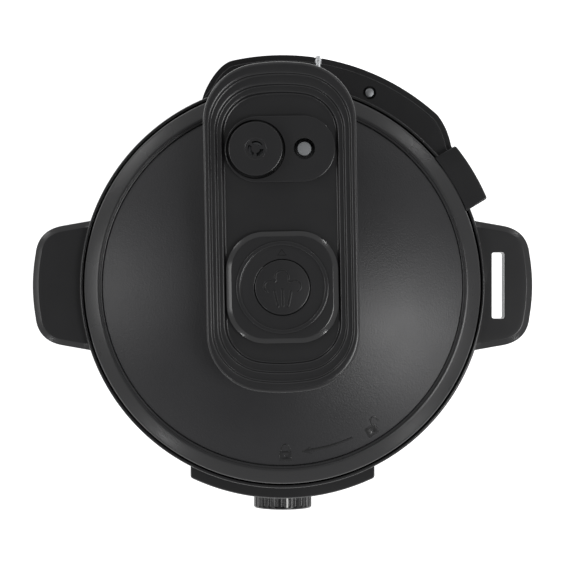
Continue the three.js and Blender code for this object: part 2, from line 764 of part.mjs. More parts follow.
// ---------------------------------------------------------------- the lid's steel side
function makeLidPlate() {
  const shoulder = plateRadius - plateShoulder;
  const plate = turned([
    [0, crownZ], [shoulder - plateSlope, crownZ], [shoulder, plateZ], [plateRadius, plateZ],
    [plateRadius, plateTop], [shoulder + 0.5, plateTop], [shoulder + 0.5 - plateSlope, crownTop],
    [0, crownTop],
  ], detail);
  const lugs = lugSectors(plateRadius - 1, lidLugRadius, plateZ, plateTop, 0);
  const holes = [
    rod(pipeRadius + gap, crownZ - 1, crownTop + 1, [-valveHalfSpacing, valveY]),
    rod(floatStem + slide, crownZ - 1, crownTop + 1, [valveHalfSpacing, valveY], 12),
    ...lidScrewPlaces().map((place) => rod(lidScrewRadius + slide, crownZ - 1, crownTop + 1, place, 10)),
  ];
  piece('lid_plate', cut(join(plate, ...lugs), ...holes), stainless, lid);

  lidScrewPlaces().forEach((place, i) => {
    const screw = join(
      rod(4, crownZ - 2, crownZ - gap, place, 12),
      rod(lidScrewRadius, crownZ - 1, crownTop + 9, place, 10),
    );
    piece(`lid_screw_${i + 1}`, screw, stainless, lid);
  });

  const sealOuter = plateRadius - 1.3;
  const sealInner = sealOuter - sealWidth;
  const seal = turned([
    [sealInner, sealZ + 1.5], [sealInner + 1.5, sealZ], [sealOuter, sealZ], [sealOuter, sealZ + sealHeight],
    [sealInner, sealZ + sealHeight], [sealInner, sealZ + 5.2], [sealInner + 2.2, sealZ + 4.4],
    [sealInner + 2.2, sealZ + 3], [sealInner, sealZ + 2.4],
  ], detail);
  piece('sealing_ring', seal, silicone, lid);
  const rackOuter = sealInner - slide - gap;
  const rack = tube(rackOuter - rackWidth, rackOuter, sealZ + 4.4, plateZ - gap, detail);
  piece('seal_rack', rack, stainless, lid);
}

function lidScrewPlaces() {
  return [30, 150, 270].map((turn) => polar(lidScrewCircle, turn));
}

// ---------------------------------------------------------------- the lid's cover
// Height of the cover's outer face at a distance from the lid's axis.
function coverHeight(radius) {
  return coverTop - coverRise * (radius / coverEdge) ** 2;
}

function coverPoints(lift) {
  const steps = 5;
  return Array.from({ length: steps + 1 }, (_, i) => {
    const radius = coverEdge * (1 - i / steps);
    return [radius, coverHeight(radius) + lift];
  });
}

function ringProfile() {
  const inner = lidRadius - ringWidth;
  return [
    [lidRadius, rimTop - skirtDepth], [lidRadius, ringEdgeZ], [lidRadius - 1, ringEdgeZ + 1.2],
    [inner, ringTop], [inner - coverLedge, ringTop], [inner - coverLedge, ringTop - 3.5],
    [skirtInner, ringEdgeZ - 1.5], [skirtInner, rimTop - skirtDepth],
  ];
}

function makeLidCover() {
  const outside = coverPoints(0);
  const inside = coverPoints(-coverWall).reverse();
  const dome = turned([...outside, ...inside], detail);
  const valveWell = prism(roundedBox(valveHalfSpacing + 11.3, 22, 10), 0, coverTop).translate(0, valveY, 0);
  const leverFront = releaseY + buttonSkirt - 1.5;
  const leverSlot = box(-6, 6, leverFront, valveY - 20, 0, coverTop + 1);
  const bosses = lidScrewPlaces().map((place) => {
    const roof = coverHeight(lidScrewCircle) - 1.2;
    return cut(
      rod(bossRadius, crownTop + gap, roof, place, 14),
      rod(lidScrewRadius + gap, crownTop, crownTop + 11, place, 10),
    );
  });
  const pinZ = leverZ + leverThickness / 2;
  const posts = [-9.5, 6.5].map((x) => box(
    x, x + 3, leverPivotY - 4, leverPivotY + 4, coverHeight(leverPivotY) - 2.4, pinZ + 5,
  ));
  const pinHole = crossRod(leverPinRadius + gap, -12, 12, leverPivotY, pinZ);
  const cover = cut(join(cut(dome, valveWell, leverSlot), ...bosses, ...posts), pinHole);
  piece('lid_cover', cover, mattePlastic, lid);

  const tabBottom = rimTop + tabClearance;
  const notch = box(
    skirtInner - 4, lidRadius + 4,
    -tongueWidth / 2 - gap, tongueWidth / 2 + gap,
    tabBottom - gap, tabBottom + tongueThickness + gap,
  ).rotateZ(radians(tabAngle));
  piece('lid_rim_ring', cut(turned(ringProfile(), detail), notch), satinPlastic, lid);

  const tabTop = tabBottom + tabNeck;
  const neck = prism(tabOutline(lidRadius + gap), tabBottom, tabTop, 6);
  const grip = prism(tabOutline(rimRadius + slide), tabTop - tabThickness, tabTop, 6);
  const tongue = box(
    skirtInner - 3, lidRadius + gap + 2,
    -tongueWidth / 2, tongueWidth / 2,
    tabBottom, tabBottom + tongueThickness,
  );
  piece('lid_tab', join(neck, grip, tongue).rotateZ(radians(tabAngle)), mattePlastic, lid);
}

// Outline of the lid's tab on the +X side, from an inner radius out to its round end.
function tabOutline(inner) {
  const reach = lidRadius + tabReach;
  const half = tabWidth / 2;
  const start = THREE.MathUtils.radToDeg(Math.asin(half / inner));
  const end = THREE.MathUtils.radToDeg(Math.asin((half - 2) / reach));
  const shape = new THREE.Shape();
  shape.absarc(0, 0, inner, radians(start), radians(-start), true);
  shape.lineTo(reach - 3, -half);
  shape.absarc(0, 0, reach, radians(-end), radians(end), false);
  shape.lineTo(reach - 3, half);
  shape.closePath();
  return shape;
}

// Outline of the island: straight sides, ends of one wide arc, and round corners between them.
function islandOutline(side, rear, front) {
  const halfWidth = islandHalfWidth - side;
  const corner = islandCorner - side;
  const endArc = islandEndArc - side;
  const offset = halfWidth - corner;
  const rise = Math.sqrt((endArc - corner) ** 2 - offset ** 2);
  const meet = Math.atan2(rise, offset);
  const rearY = islandRear - rear;
  const frontY = -islandFront + front;
  const rearCentre = rearY - endArc;
  const frontCentre = frontY + endArc;
  const shape = new THREE.Shape();
  shape.absarc(offset, rearCentre + rise, corner, 0, meet);
  shape.absarc(0, rearCentre, endArc, meet, Math.PI - meet);
  shape.absarc(-offset, rearCentre + rise, corner, Math.PI - meet, Math.PI);
  shape.absarc(-offset, frontCentre - rise, corner, Math.PI, Math.PI + meet);
  shape.absarc(0, frontCentre, endArc, Math.PI + meet, 2 * Math.PI - meet);
  shape.absarc(offset, frontCentre - rise, corner, 2 * Math.PI - meet, 2 * Math.PI);
  shape.closePath();
  return shape;
}

function makeIsland() {
  const outer = prism(islandOutline(0, 0, 0), islandBottom, islandTop, 3);
  const inside = islandOutline(islandWall, islandWall, islandWall);
  const hollow = prism(inside, islandBottom - 30, islandCeiling, 3);
  const terraces = [];
  let rear = 0;
  let front = 0;
  rearTreads.forEach((tread, i) => {
    rear += tread;
    front += frontTreads[i];
    const outline = islandOutline((i + 1) * sideTread, rear, front);
    terraces.push(prism(outline, islandTop - (i + 1) * stepHeight, islandTop + 1, 3));
  });
  const edge = ringProfile();
  const inner = lidRadius - ringWidth;
  const lidRoom = turned([
    [0, 0], [lidRadius + rimClearance, 0], [lidRadius + rimClearance, edge[1][1] + gap],
    [edge[2][0], edge[2][1] + gap], [inner, ringTop + gap], [inner - coverLedge, ringTop + gap],
    ...coverPoints(gap),
  ], detail);
  const holes = [
    rod(buttonRadius + slide, islandCeiling - 1, islandFloor + 1, [0, releaseY], mediumDetail),
    rod(weightRadius + slide, islandCeiling - 1, islandFloor + 1, [-valveHalfSpacing, valveY]),
    rod(floatHole, islandCeiling - 1, islandFloor + 1, [valveHalfSpacing, valveY]),
  ];
  piece('lid_island', cut(outer, hollow, ...terraces, lidRoom, ...holes), mattePlastic, lid);
}

// ---------------------------------------------------------------- steam valve and float valve
function makeValves() {
  const steamX = -valveHalfSpacing;
  const floatX = valveHalfSpacing;
  const outline = roundedBox(panelHalfLength, panelHalfWidth, panelHalfWidth - 0.01);
  const panel = prism(outline, panelZ, panelTop, 3);
  piece('valve_panel', cut(
    panel.translate(0, valveY, 0),
    rod(recessRadius, recessFloor, panelTop + 1, [steamX, valveY], mediumDetail),
    rod(weightRadius + slide, panelZ - 1, panelTop, [steamX, valveY]),
    rod(floatHole, panelZ - 1, panelTop + 1, [floatX, valveY]),
  ), glossPlastic, lid);

  const pipe = turned([
    [pipeBore, crownZ - 6], [pipeRadius, crownZ - 6], [pipeRadius, crownTop + gap],
    [weightRadius, crownTop + gap], [weightRadius, crownTop + 3], [pipeRadius, crownTop + 3],
    [pipeRadius, pipeTop], [pipeBore, pipeTop],
  ]);
  piece('exhaust_pipe', pipe.translate(steamX, valveY, 0), stainless, lid);
  const nut = cut(rod(9, crownZ - 4, crownZ - gap, [0, 0], 6), rod(pipeRadius + gap, crownZ - 5, crownZ));
  piece('pipe_nut', nut.translate(steamX, valveY, 0), stainless, lid);

  const shieldTop = crownZ - gap;
  const shieldBottom = shieldTop - shieldDepth;
  const cage = turned([
    [0, shieldBottom], [shieldRadius, shieldBottom], [shieldRadius, shieldTop],
    [shieldRadius - 1, shieldTop], [shieldRadius - 1, shieldBottom + 1], [0, shieldBottom + 1],
  ], mediumDetail);
  const windows = [0, 60, 120].map((turn) => box(-20, 20, -2, 2, shieldBottom + 3, shieldTop - 4)
    .rotateZ(radians(turn)));
  piece('anti_block_shield', cut(cage, ...windows).translate(steamX, valveY, 0), stainless, lid);

  const capBottom = recessFloor + 1;
  const capTop = capBottom + capHeight - 3;
  const weightTop = capBottom - gap;
  const flangeZ = leverTop + 0.6;
  const weight = turned([
    [0, weightTop], [weightRadius, weightTop], [weightRadius, flangeZ + 2], [weightFlange, flangeZ + 2],
    [weightFlange, flangeZ], [pipeRadius + slide, flangeZ], [pipeRadius + slide, pipeTop + gap],
    [0, pipeTop + gap],
  ]);
  piece('steam_valve_weight', weight.translate(steamX, valveY, 0), stainless, lid);

  const cap = turned([
    [0, capBottom], [capRadius - 1, capBottom], [capRadius, capBottom + 1], [capRadius, capTop - 1],
    [capRadius - 1, capTop], [ventRadius, capTop], [ventRadius, capBottom + 3], [0, capBottom + 3],
  ], mediumDetail);
  const hub = rod(ventHub, capBottom + 2, capTop - capWall, [0, 0], 12);
  const spokes = [135, 17, 265].map((turn) => box(
    0, ventRadius + 1, -0.9, 0.9, capBottom + 2.5, capTop - capWall - 0.6,
  ).rotateZ(radians(turn)));
  piece('steam_valve_cap', join(cap, hub, ...spokes).translate(steamX, valveY, 0), glossPlastic, lid);

  const sealTop = crownZ - floatTravel - 0.8;
  const sealBottom = sealTop - 3;
  const headTop = panelTop - 2.6;
  const float = turned([
    [0, headTop], [floatHead - 0.7, headTop], [floatHead, headTop - 0.7], [floatHead, headTop - 4],
    [floatStem, headTop - 4], [floatStem, sealBottom - gap], [4.2, sealBottom - gap],
    [4.2, sealBottom - 1.8], [0, sealBottom - 1.8],
  ]);
  piece('float_valve', float.translate(floatX, valveY, 0), stainless, lid);
  const floatSeal = tube(floatStem + gap, 6.2, sealBottom, sealTop);
  piece('float_seal', floatSeal.translate(floatX, valveY, 0), silicone, lid);
}

// ---------------------------------------------------------------- steam release button and its lever
function makeRelease() {
  const bezelZ = islandFloor + gap;
  const bezelTop = bezelZ + bezelHeight;
  const foot = prism(roundedBox(bezelHalf, bezelHalf, bezelCorner), bezelZ, bezelTop - 2, 3);
  const crown = prism(
    roundedBox(bezelHalf - bezelChamfer, bezelHalf - bezelChamfer, bezelCorner - bezelChamfer),
    bezelZ, bezelTop, 3,
  );
  const ringTopZ = bezelTop + raisedRingHeight;
  const ring = tube(raisedRingInner, raisedRingOuter, bezelTop - 1, ringTopZ, mediumDetail);
  const well = buttonRadius + slide;
  const dish = turned([
    [0, bezelTop + 3], [raisedRingInner, bezelTop + 3], [raisedRingInner, bezelTop - 0.5],
    [well, bezelTop - 2.4], [well, bezelZ - 1], [0, bezelZ - 1],
  ], mediumDetail);
  piece('release_bezel', cut(join(foot, crown, ring), dish).translate(0, releaseY, 0), mattePlastic, lid);

  const buttonTop = bezelTop;
  const discBottom = buttonTop - buttonThickness;
  const skirtBottom = coverTop + buttonStroke + gap;
  const disc = turned([
    [0, buttonTop], [buttonRadius - 1, buttonTop], [buttonRadius, buttonTop - 1],
    [buttonRadius, discBottom], [buttonSkirt, discBottom], [buttonSkirt, skirtBottom],
    [buttonSkirt - buttonSkirtWall, skirtBottom], [buttonSkirt - buttonSkirtWall, discBottom],
    [0, discBottom],
  ], mediumDetail);
  const fingerTop = islandCeiling - slide;
  const finger = join(
    box(-3, 3, buttonSkirt - 1.4, buttonSkirt + 7, leverTop + 0.6, fingerTop),
    box(-3, 3, buttonSkirt - 1.4, buttonSkirt - 0.5, leverTop + 0.6, skirtBottom + 3),
  );
  piece('release_button', join(disc, finger).translate(0, releaseY, 0), mattePlastic, lid);

  const spring = coilSpring(buttonSkirt - buttonSkirtWall - 1.6, coverTop + gap, discBottom - gap, 5);
  piece('button_spring', spring.translate(0, releaseY, 0), stainless, lid);

  const forkGap = pipeRadius + slide + 0.2;
  const fork = new THREE.Shape();
  const forkX = -valveHalfSpacing;
  fork.moveTo(leverHalfWidth, releaseY + buttonSkirt + 2.2);
  fork.lineTo(leverHalfWidth, valveY - 10);
  fork.lineTo(forkX + weightFlange, valveY - 10);
  fork.lineTo(forkX + weightFlange, valveY + 3);
  fork.lineTo(forkX + forkGap, valveY + 3);
  fork.lineTo(forkX + forkGap, valveY - forkGap);
  fork.lineTo(forkX - forkGap, valveY - forkGap);
  fork.lineTo(forkX - forkGap, valveY + 3);
  fork.lineTo(forkX - weightFlange, valveY + 3);
  fork.lineTo(forkX - weightFlange, valveY - 16);
  fork.lineTo(-leverHalfWidth, valveY - 22);
  fork.lineTo(-leverHalfWidth, releaseY + buttonSkirt + 2.2);
  fork.closePath();
  const pinZ = leverZ + leverThickness / 2;
  const hub = crossRod(leverPinRadius + 2, -leverHalfWidth, leverHalfWidth, leverPivotY, pinZ, 14);
  const bore = crossRod(leverPinRadius + gap, -10, 10, leverPivotY, pinZ, 12);
  piece('release_lever', cut(join(prism(fork, leverZ, leverTop), hub), bore), innerPlastic, lid);
  const pin = crossRod(leverPinRadius, -9.3, 9.3, leverPivotY, pinZ, 12);
  piece('lever_pin', pin, stainless, lid);
}

makeBase();
makePowerBoard();
makeHousing();
makeHeater();
makePot();
makeHandles();
makeCollar();
makeFront();
makeCup();
makeLidPlate();
makeLidCover();
makeIsland();
makeValves();
makeRelease();

export default cooker;
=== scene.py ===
# Electric pressure cooker: the fine surfaces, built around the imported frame.
# Shapes are written in millimetres and turned to metres where a mesh is made.
import math

import bmesh
import bpy
from mathutils import Matrix, Vector


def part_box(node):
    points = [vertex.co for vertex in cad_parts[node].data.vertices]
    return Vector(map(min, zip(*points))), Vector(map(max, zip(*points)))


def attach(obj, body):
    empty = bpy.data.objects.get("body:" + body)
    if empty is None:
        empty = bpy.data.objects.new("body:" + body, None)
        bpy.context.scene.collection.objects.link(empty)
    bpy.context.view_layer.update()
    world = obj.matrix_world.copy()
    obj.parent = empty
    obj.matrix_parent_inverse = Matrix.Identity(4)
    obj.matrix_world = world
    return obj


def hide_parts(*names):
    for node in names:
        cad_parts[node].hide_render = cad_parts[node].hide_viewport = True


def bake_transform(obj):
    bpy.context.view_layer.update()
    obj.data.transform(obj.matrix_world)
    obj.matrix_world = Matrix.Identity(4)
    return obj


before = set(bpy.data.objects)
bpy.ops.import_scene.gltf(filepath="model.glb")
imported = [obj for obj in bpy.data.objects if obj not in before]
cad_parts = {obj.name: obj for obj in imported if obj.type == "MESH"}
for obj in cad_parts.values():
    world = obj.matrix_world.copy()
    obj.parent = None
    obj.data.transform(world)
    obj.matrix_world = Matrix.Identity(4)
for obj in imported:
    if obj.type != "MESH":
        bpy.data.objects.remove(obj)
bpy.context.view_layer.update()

MM = 0.001
ROUND = 180  # sides of a large round piece
SMALL = 64  # sides of a small round piece
CLOCKING = math.radians(1.0)  # the closed lid stands this far past square
CLOCKED = Matrix.Rotation(CLOCKING, 4, "Z")
TAB_TURN = Matrix.Rotation(math.radians(30) + CLOCKING, 4, "Z")
FORWARD = Matrix.Rotation(math.radians(90), 4, "X")  # stands an upright piece out to the front


# ------------------------------------------------------------------ places from the frame
def low(node):
    return [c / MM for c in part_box(node)[0]]


def high(node):
    return [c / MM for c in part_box(node)[1]]


def middle(node):
    return [(a + b) / 2 for a, b in zip(low(node), high(node))]


def half_width(node):
    return (high(node)[0] - low(node)[0]) / 2


LID_RADIUS = half_width("lid_rim_ring")
RIM_RADIUS = half_width("top_ring")
SHELL_RADIUS = half_width("housing_shell")
COVER_RADIUS = half_width("lid_cover")
RIM_TOP = high("top_ring")[2]
RING_TOP = high("lid_rim_ring")[2]
ISLAND_TOP = high("lid_island")[2]
ISLAND_BOTTOM = low("lid_island")[2]
PANEL_BOTTOM = low("valve_panel")[2]
PANEL_TOP = high("valve_panel")[2]
ISLAND_FLOOR = PANEL_BOTTOM - 0.3
HANDLE_TOP = high("right_handle")[2]
HANDLE_BOTTOM = low("right_handle")[2]
COLLAR_TOP = high("rear_collar")[2]
COLLAR_BOTTOM = low("rear_collar")[2]
COVER_EDGE = RING_TOP - 2.0  # height of the cover's edge, just under the ring's lip
COVER_RISE = 20.0


# ------------------------------------------------------------------ mesh helpers
def as_piece(name, vertices, faces, turn=0.0, sharp=38.0):
    """A mesh object from points in millimetres, turned about Z, with its faces pointing out."""
    bm = bmesh.new()
    made = [bm.verts.new(Vector(v) * MM) for v in vertices]
    for face in faces:
        corners = []
        for i in face:
            if made[i] not in corners:
                corners.append(made[i])
        if len(corners) > 2:
            bm.faces.new(corners)
    bmesh.ops.remove_doubles(bm, verts=bm.verts, dist=1e-7)
    bmesh.ops.dissolve_degenerate(bm, edges=bm.edges, dist=1e-8)
    bmesh.ops.recalc_face_normals(bm, faces=bm.faces)
    if bm.calc_volume(signed=True) < 0:
        bmesh.ops.reverse_faces(bm, faces=bm.faces)
    if turn:
        bmesh.ops.rotate(bm, verts=bm.verts, cent=(0, 0, 0), matrix=Matrix.Rotation(turn, 3, "Z"))
    mesh = bpy.data.meshes.new(name)
    bm.to_mesh(mesh)
    bm.free()
    piece = bpy.data.objects.new(name, mesh)
    bpy.context.collection.objects.link(piece)
    smooth(piece, sharp)
    return piece


def smooth(piece, sharp=38.0):
    piece.data.shade_smooth()
    piece.data.set_sharp_from_angle(angle=math.radians(sharp))


def move(piece, matrix):
    piece.data.transform(matrix)
    return piece


def shift(x, y, z):
    return Matrix.Translation(Vector((x, y, z)) * MM)


def soften(points, steps=4):
    """Rounds the corners of a profile: each point is (r, z) or (r, z, how far the rounding reaches)."""
    out = []
    for i, point in enumerate(points):
        reach = point[2] if len(point) > 2 else 0
        here = Vector(point[:2])
        if not reach:
            out.append(tuple(here))
            continue
        before = Vector(points[i - 1][:2])
        after = Vector(points[(i + 1) % len(points)][:2])
        start = here + (before - here).normalized() * min(reach, (before - here).length * 0.49)
        end = here + (after - here).normalized() * min(reach, (after - here).length * 0.49)
        for k in range(steps + 1):
            t = k / steps
            out.append(tuple(start * (1 - t) ** 2 + here * 2 * t * (1 - t) + end * t * t))
    return out


def lathe(name, profile, centre=(0, 0), sides=ROUND, turn=0.0, sharp=38.0):
    """A piece turned about a vertical axis. A profile that meets the axis starts and ends there."""
    points = soften(profile)
    on_axis = points[0][0] == 0
    vertices, rings = [], []
    for radius, z in points:
        if radius == 0:
            rings.append([len(vertices)] * sides)
            vertices.append((centre[0], centre[1], z))
            continue
        ring = []
        for k in range(sides):
            angle = 2 * math.pi * k / sides
            ring.append(len(vertices))
            vertices.append((
                centre[0] + radius * math.cos(angle),
                centre[1] + radius * math.sin(angle),
                z,
            ))
        rings.append(ring)
    faces = []
    last = len(rings) - 1 if on_axis else len(rings)
    for i in range(last):
        a, b = rings[i], rings[(i + 1) % len(rings)]
        for k in range(sides):
            n = (k + 1) % sides
            faces.append((a[k], a[n], b[n], b[k]))
    return as_piece(name, vertices, faces, turn, sharp)


def drill(radius, bottom, top, centre=(0, 0), sides=ROUND):
    """A plain upright cylinder that cuts a hole."""
    return lathe("drill", [(0, bottom), (radius, bottom), (radius, top), (0, top)], centre, sides)


def loft(name, loops, caps=(True, True), turn=0.0, sharp=38.0):
    """A skin over loops of points, all with the same count, capped at the ends that are asked for."""
    count = len(loops[0])
    vertices = [point for loop in loops for point in loop]
    faces = []
    for i in range(len(loops) - 1):
        for k in range(count):
            n = (k + 1) % count
            faces.append((i * count + k, i * count + n, (i + 1) * count + n, (i + 1) * count + k))
    if caps[0]:
        faces.append(tuple(range(count)))
    if caps[1]:
        faces.append(tuple((len(loops) - 1) * count + k for k in range(count)))
    return as_piece(name, vertices, faces, turn, sharp)


def arc(centre, radius, start, end, steps):
    points = []
    for k in range(steps + 1):
        angle = math.radians(start + (end - start) * k / steps)
        points.append((centre[0] + radius * math.cos(angle), centre[1] + radius * math.sin(angle)))
    return points


def bend(start, control, end, steps):
    points = []
    for k in range(steps + 1):
        t = k / steps
        points.append(tuple(
            a * (1 - t) ** 2 + b * 2 * t * (1 - t) + c * t * t for a, b, c in zip(start, control, end)
        ))
    return points


def without_repeats(points):
    kept = []
    for point in points:
        if not kept or math.dist(point, kept[-1]) > 1e-4:
            kept.append(point)
    if math.dist(kept[0], kept[-1]) < 1e-4:
        kept.pop()
    return kept


def inset(outline, distance, weights=None):
    """The outline moved inwards; weights say how much of the distance each point takes."""
    area = sum(a[0] * b[1] - b[0] * a[1] for a, b in zip(outline, outline[1:] + outline[:1]))
    side = 1 if area > 0 else -1
    moved = []
    for i, (x, y) in enumerate(outline):
        before, after = outline[i - 1], outline[(i + 1) % len(outline)]
        u = Vector((x - before[0], y - before[1])).normalized()
        v = Vector((after[0] - x, after[1] - y)).normalized()
        normal = Vector((-u.y - v.y, u.x + v.x)) * side
        if normal.length < 1e-6:
            normal = Vector((-u.y, u.x)) * side
        normal.normalize()
        lean = max(0.5, normal.dot(Vector((-u.y, u.x)) * side))
        reach = distance * (weights[i] if weights else 1) / lean
        moved.append((x + normal.x * reach, y + normal.y * reach))
    return moved


def shell(name, outline, profile, weights=None, turn=0.0, sharp=38.0, caps=(True, True)):
    """An outline carried along a profile of (inset, height, rounding) points, capped at both ends."""
    loops = []
    points = soften([(0, 0)] + list(profile) + [(0, 0)])[1:-1]
    for distance, z in points:
        loops.append([(x, y, z) for x, y in inset(outline, distance, weights)])
    return loft(name, loops, caps, turn, sharp)


def rounded_box(half_x, half_y, corner, steps=12, centre=(0, 0)):
    points = []
    for sx, sy, start in ((1, 1, 0), (-1, 1, 90), (-1, -1, 180), (1, -1, 270)):
        place = (centre[0] + sx * (half_x - corner), centre[1] + sy * (half_y - corner))
        points += arc(place, corner, start, start + 90, steps)
    return without_repeats(points)


def block(name, x, y, z, edge=0.4, turn=0.0):
    """A box between three pairs of coordinates, with its corners and both its ends rounded."""
    centre = (sum(x) / 2, sum(y) / 2)
    outline = rounded_box((x[1] - x[0]) / 2, (y[1] - y[0]) / 2, edge, 4, centre)
    profile = [(edge, z[0], 0), (0, z[0] + edge, 0), (0, z[1] - edge, 0), (edge, z[1], 0)]
    return shell(name, outline, profile, turn=turn)


def carve(piece, *cutters, operation="DIFFERENCE", sharp=38.0):
    """Cuts each cutter out of the piece, or joins it on, and removes the cutter."""
    for cutter in cutters:
        modifier = piece.modifiers.new("carve", "BOOLEAN")
        modifier.object = cutter
        modifier.operation = operation
        modifier.solver = "MANIFOLD"
        flatten(piece)
        bpy.data.objects.remove(cutter)
    smooth(piece, sharp)
    return piece


def flatten(piece):
    """Turns the modifiers' result into the piece's own plain mesh."""
    ready = piece.evaluated_get(bpy.context.evaluated_depsgraph_get())
    mesh = bpy.data.meshes.new_from_object(ready)
    piece.modifiers.clear()
    old = piece.data
    piece.data = mesh
    mesh.name = piece.name
    bpy.data.meshes.remove(old)
    return piece


def merge(name, pieces, sharp=38.0):
    """Several meshes as one piece."""
    bm = bmesh.new()
    for piece in pieces:
        bm.from_mesh(piece.data)
    mesh = bpy.data.meshes.new(name)
    bm.to_mesh(mesh)
    bm.free()
    for piece in pieces:
        bpy.data.objects.remove(piece)
    whole = bpy.data.objects.new(name, mesh)
    bpy.context.collection.objects.link(whole)
    smooth(whole, sharp)
    return whole


def settle(piece, material, body, slot, *nodes):
    """Gives a piece its material and its body, and hides the frame's nodes that it stands for; the slot is
    not used.
    """
    piece.data.materials.clear()
    piece.data.materials.append(material)
    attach(piece, body)
    if nodes:
        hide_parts(*nodes)
    return piece


# ------------------------------------------------------------------ material helpers
def colour(code):
    """An sRGB hex colour as the linear values that a shader takes."""
    values = [int(code[i:i + 2], 16) / 255 for i in (1, 3, 5)]
    return tuple(v / 12.92 if v <= 0.04045 else ((v + 0.055) / 1.055) ** 2.4 for v in values) + (1.0,)


def add(tree, kind, settings=None, links=None):
    """Adds one node, sets its properties and input values, and links other nodes' outputs to it."""
    node = tree.nodes.new(kind)
    for key, value in (settings or {}).items():
        if isinstance(key, str) and hasattr(node, key):
            setattr(node, key, value)
        else:
            node.inputs[key].default_value = value
    for key, source in (links or {}).items():
        tree.links.new(source, node.inputs[key])
    return node


def repeats_tree():
    """Copies of one piece: each stands a pitch further along and a turn further round than the last."""
    tree = bpy.data.node_groups.new("repeats", "GeometryNodeTree")
    sockets = {}
    for name, kind in (("Piece", "Geometry"), ("Count", "Int"), ("Pitch", "Vector"), ("First turn", "Float"),
                       ("Turn", "Float"), ("Material", "Material")):
        sockets[name] = tree.interface.new_socket(name, in_out="INPUT", socket_type="NodeSocket" + kind)
    tree.interface.new_socket("Pieces", in_out="OUTPUT", socket_type="NodeSocketGeometry")
    given = add(tree, "NodeGroupInput").outputs
    line = add(tree, "GeometryNodeMeshLine", {}, {"Count": given["Count"], "Offset": given["Pitch"]})
    index = add(tree, "GeometryNodeInputIndex")
    turn = add(tree, "ShaderNodeMath", {"operation": "MULTIPLY_ADD"}, {
        0: index.outputs[0], 1: given["Turn"], 2: given["First turn"],
    })
    facing = add(tree, "ShaderNodeCombineXYZ", {}, {"Z": turn.outputs[0]})
    copies = add(tree, "GeometryNodeInstanceOnPoints", {}, {
        "Points": line.outputs["Mesh"], "Instance": given["Piece"], "Rotation": facing.outputs[0],
    })
    real = add(tree, "GeometryNodeRealizeInstances", {}, {0: copies.outputs[0]})
    dressed = add(tree, "GeometryNodeSetMaterial", {}, {
        "Geometry": real.outputs[0], "Material": given["Material"],
    })
    add(tree, "NodeGroupOutput", {}, {0: dressed.outputs[0]})
    return tree, {name: socket.identifier for name, socket in sockets.items()}


def repeat(piece, count, pitch=(0, 0, 0), first=0.0, turn=0.0, material=None):
    """The piece copied by the repeats tree; the pitch is in millimetres and the turns in degrees."""
    modifier = piece.modifiers.new("repeats", "NODES")
    modifier.node_group = REPEATS
    modifier[REPEATS_INPUTS["Count"]] = count
    modifier[REPEATS_INPUTS["Pitch"]] = [v * MM for v in pitch]
    modifier[REPEATS_INPUTS["First turn"]] = math.radians(first)
    modifier[REPEATS_INPUTS["Turn"]] = math.radians(turn)
    if material:
        modifier[REPEATS_INPUTS["Material"]] = material
    flatten(piece)
    smooth(piece)
    return piece


def coil_tree():
    """A coil spring: round wire swept along a helix that stands on the origin."""
    tree = bpy.data.node_groups.new("coil", "GeometryNodeTree")
    sockets = {}
    for name, kind in (("Radius", "Float"), ("Wire", "Float"), ("Height", "Float"), ("Turns", "Float"),
                       ("Material", "Material")):
        sockets[name] = tree.interface.new_socket(name, in_out="INPUT", socket_type="NodeSocket" + kind)
    tree.interface.new_socket("Coil", in_out="OUTPUT", socket_type="NodeSocketGeometry")
    given = add(tree, "NodeGroupInput").outputs
    helix = add(tree, "GeometryNodeCurveSpiral", {"Resolution": 32}, {
        "Rotations": given["Turns"], "Start Radius": given["Radius"], "End Radius": given["Radius"],
        "Height": given["Height"],
    })
    wire = add(tree, "GeometryNodeCurvePrimitiveCircle", {"Resolution": 10}, {"Radius": given["Wire"]})
    swept = add(tree, "GeometryNodeCurveToMesh", {"Fill Caps": True},
                {0: helix.outputs[0], 1: wire.outputs[0]})
    real = add(tree, "GeometryNodeRealizeInstances", {}, {0: swept.outputs[0]})
    dressed = add(tree, "GeometryNodeSetMaterial", {}, {
        "Geometry": real.outputs[0], "Material": given["Material"],
    })
    add(tree, "NodeGroupOutput", {}, {0: dressed.outputs[0]})
    return tree, {name: socket.identifier for name, socket in sockets.items()}


def coil(name, radius, wire, bottom, top, turns, material):
    """A spring between two heights, in millimetres, made by the coil tree."""
    piece = as_piece(name, [(0, 0, 0), (1, 0, 0), (0, 1, 0)], [(0, 1, 2)])
    modifier = piece.modifiers.new("coil", "NODES")
    modifier.node_group = COIL
    for key, value in (("Radius", radius * MM), ("Wire", wire * MM),
                       ("Height", (top - bottom - 2 * wire) * MM),
                       ("Turns", float(turns)), ("Material", material)):
        modifier[COIL_INPUTS[key]] = value
    flatten(piece)
    smooth(piece)
    return move(piece, shift(0, 0, bottom + wire))


REPEATS, REPEATS_INPUTS = repeats_tree()
COIL, COIL_INPUTS = coil_tree()


def new_material(name):
    material = bpy.data.materials.new(name)
    material.use_nodes = True
    tree = material.node_tree
    tree.nodes.clear()
    shader = add(tree, "ShaderNodeBsdfPrincipled")
    out = add(tree, "ShaderNodeOutputMaterial")
    tree.links.new(shader.outputs[0], out.inputs[0])
    place = add(tree, "ShaderNodeTexCoord").outputs["Object"]
    return material, tree, shader, place


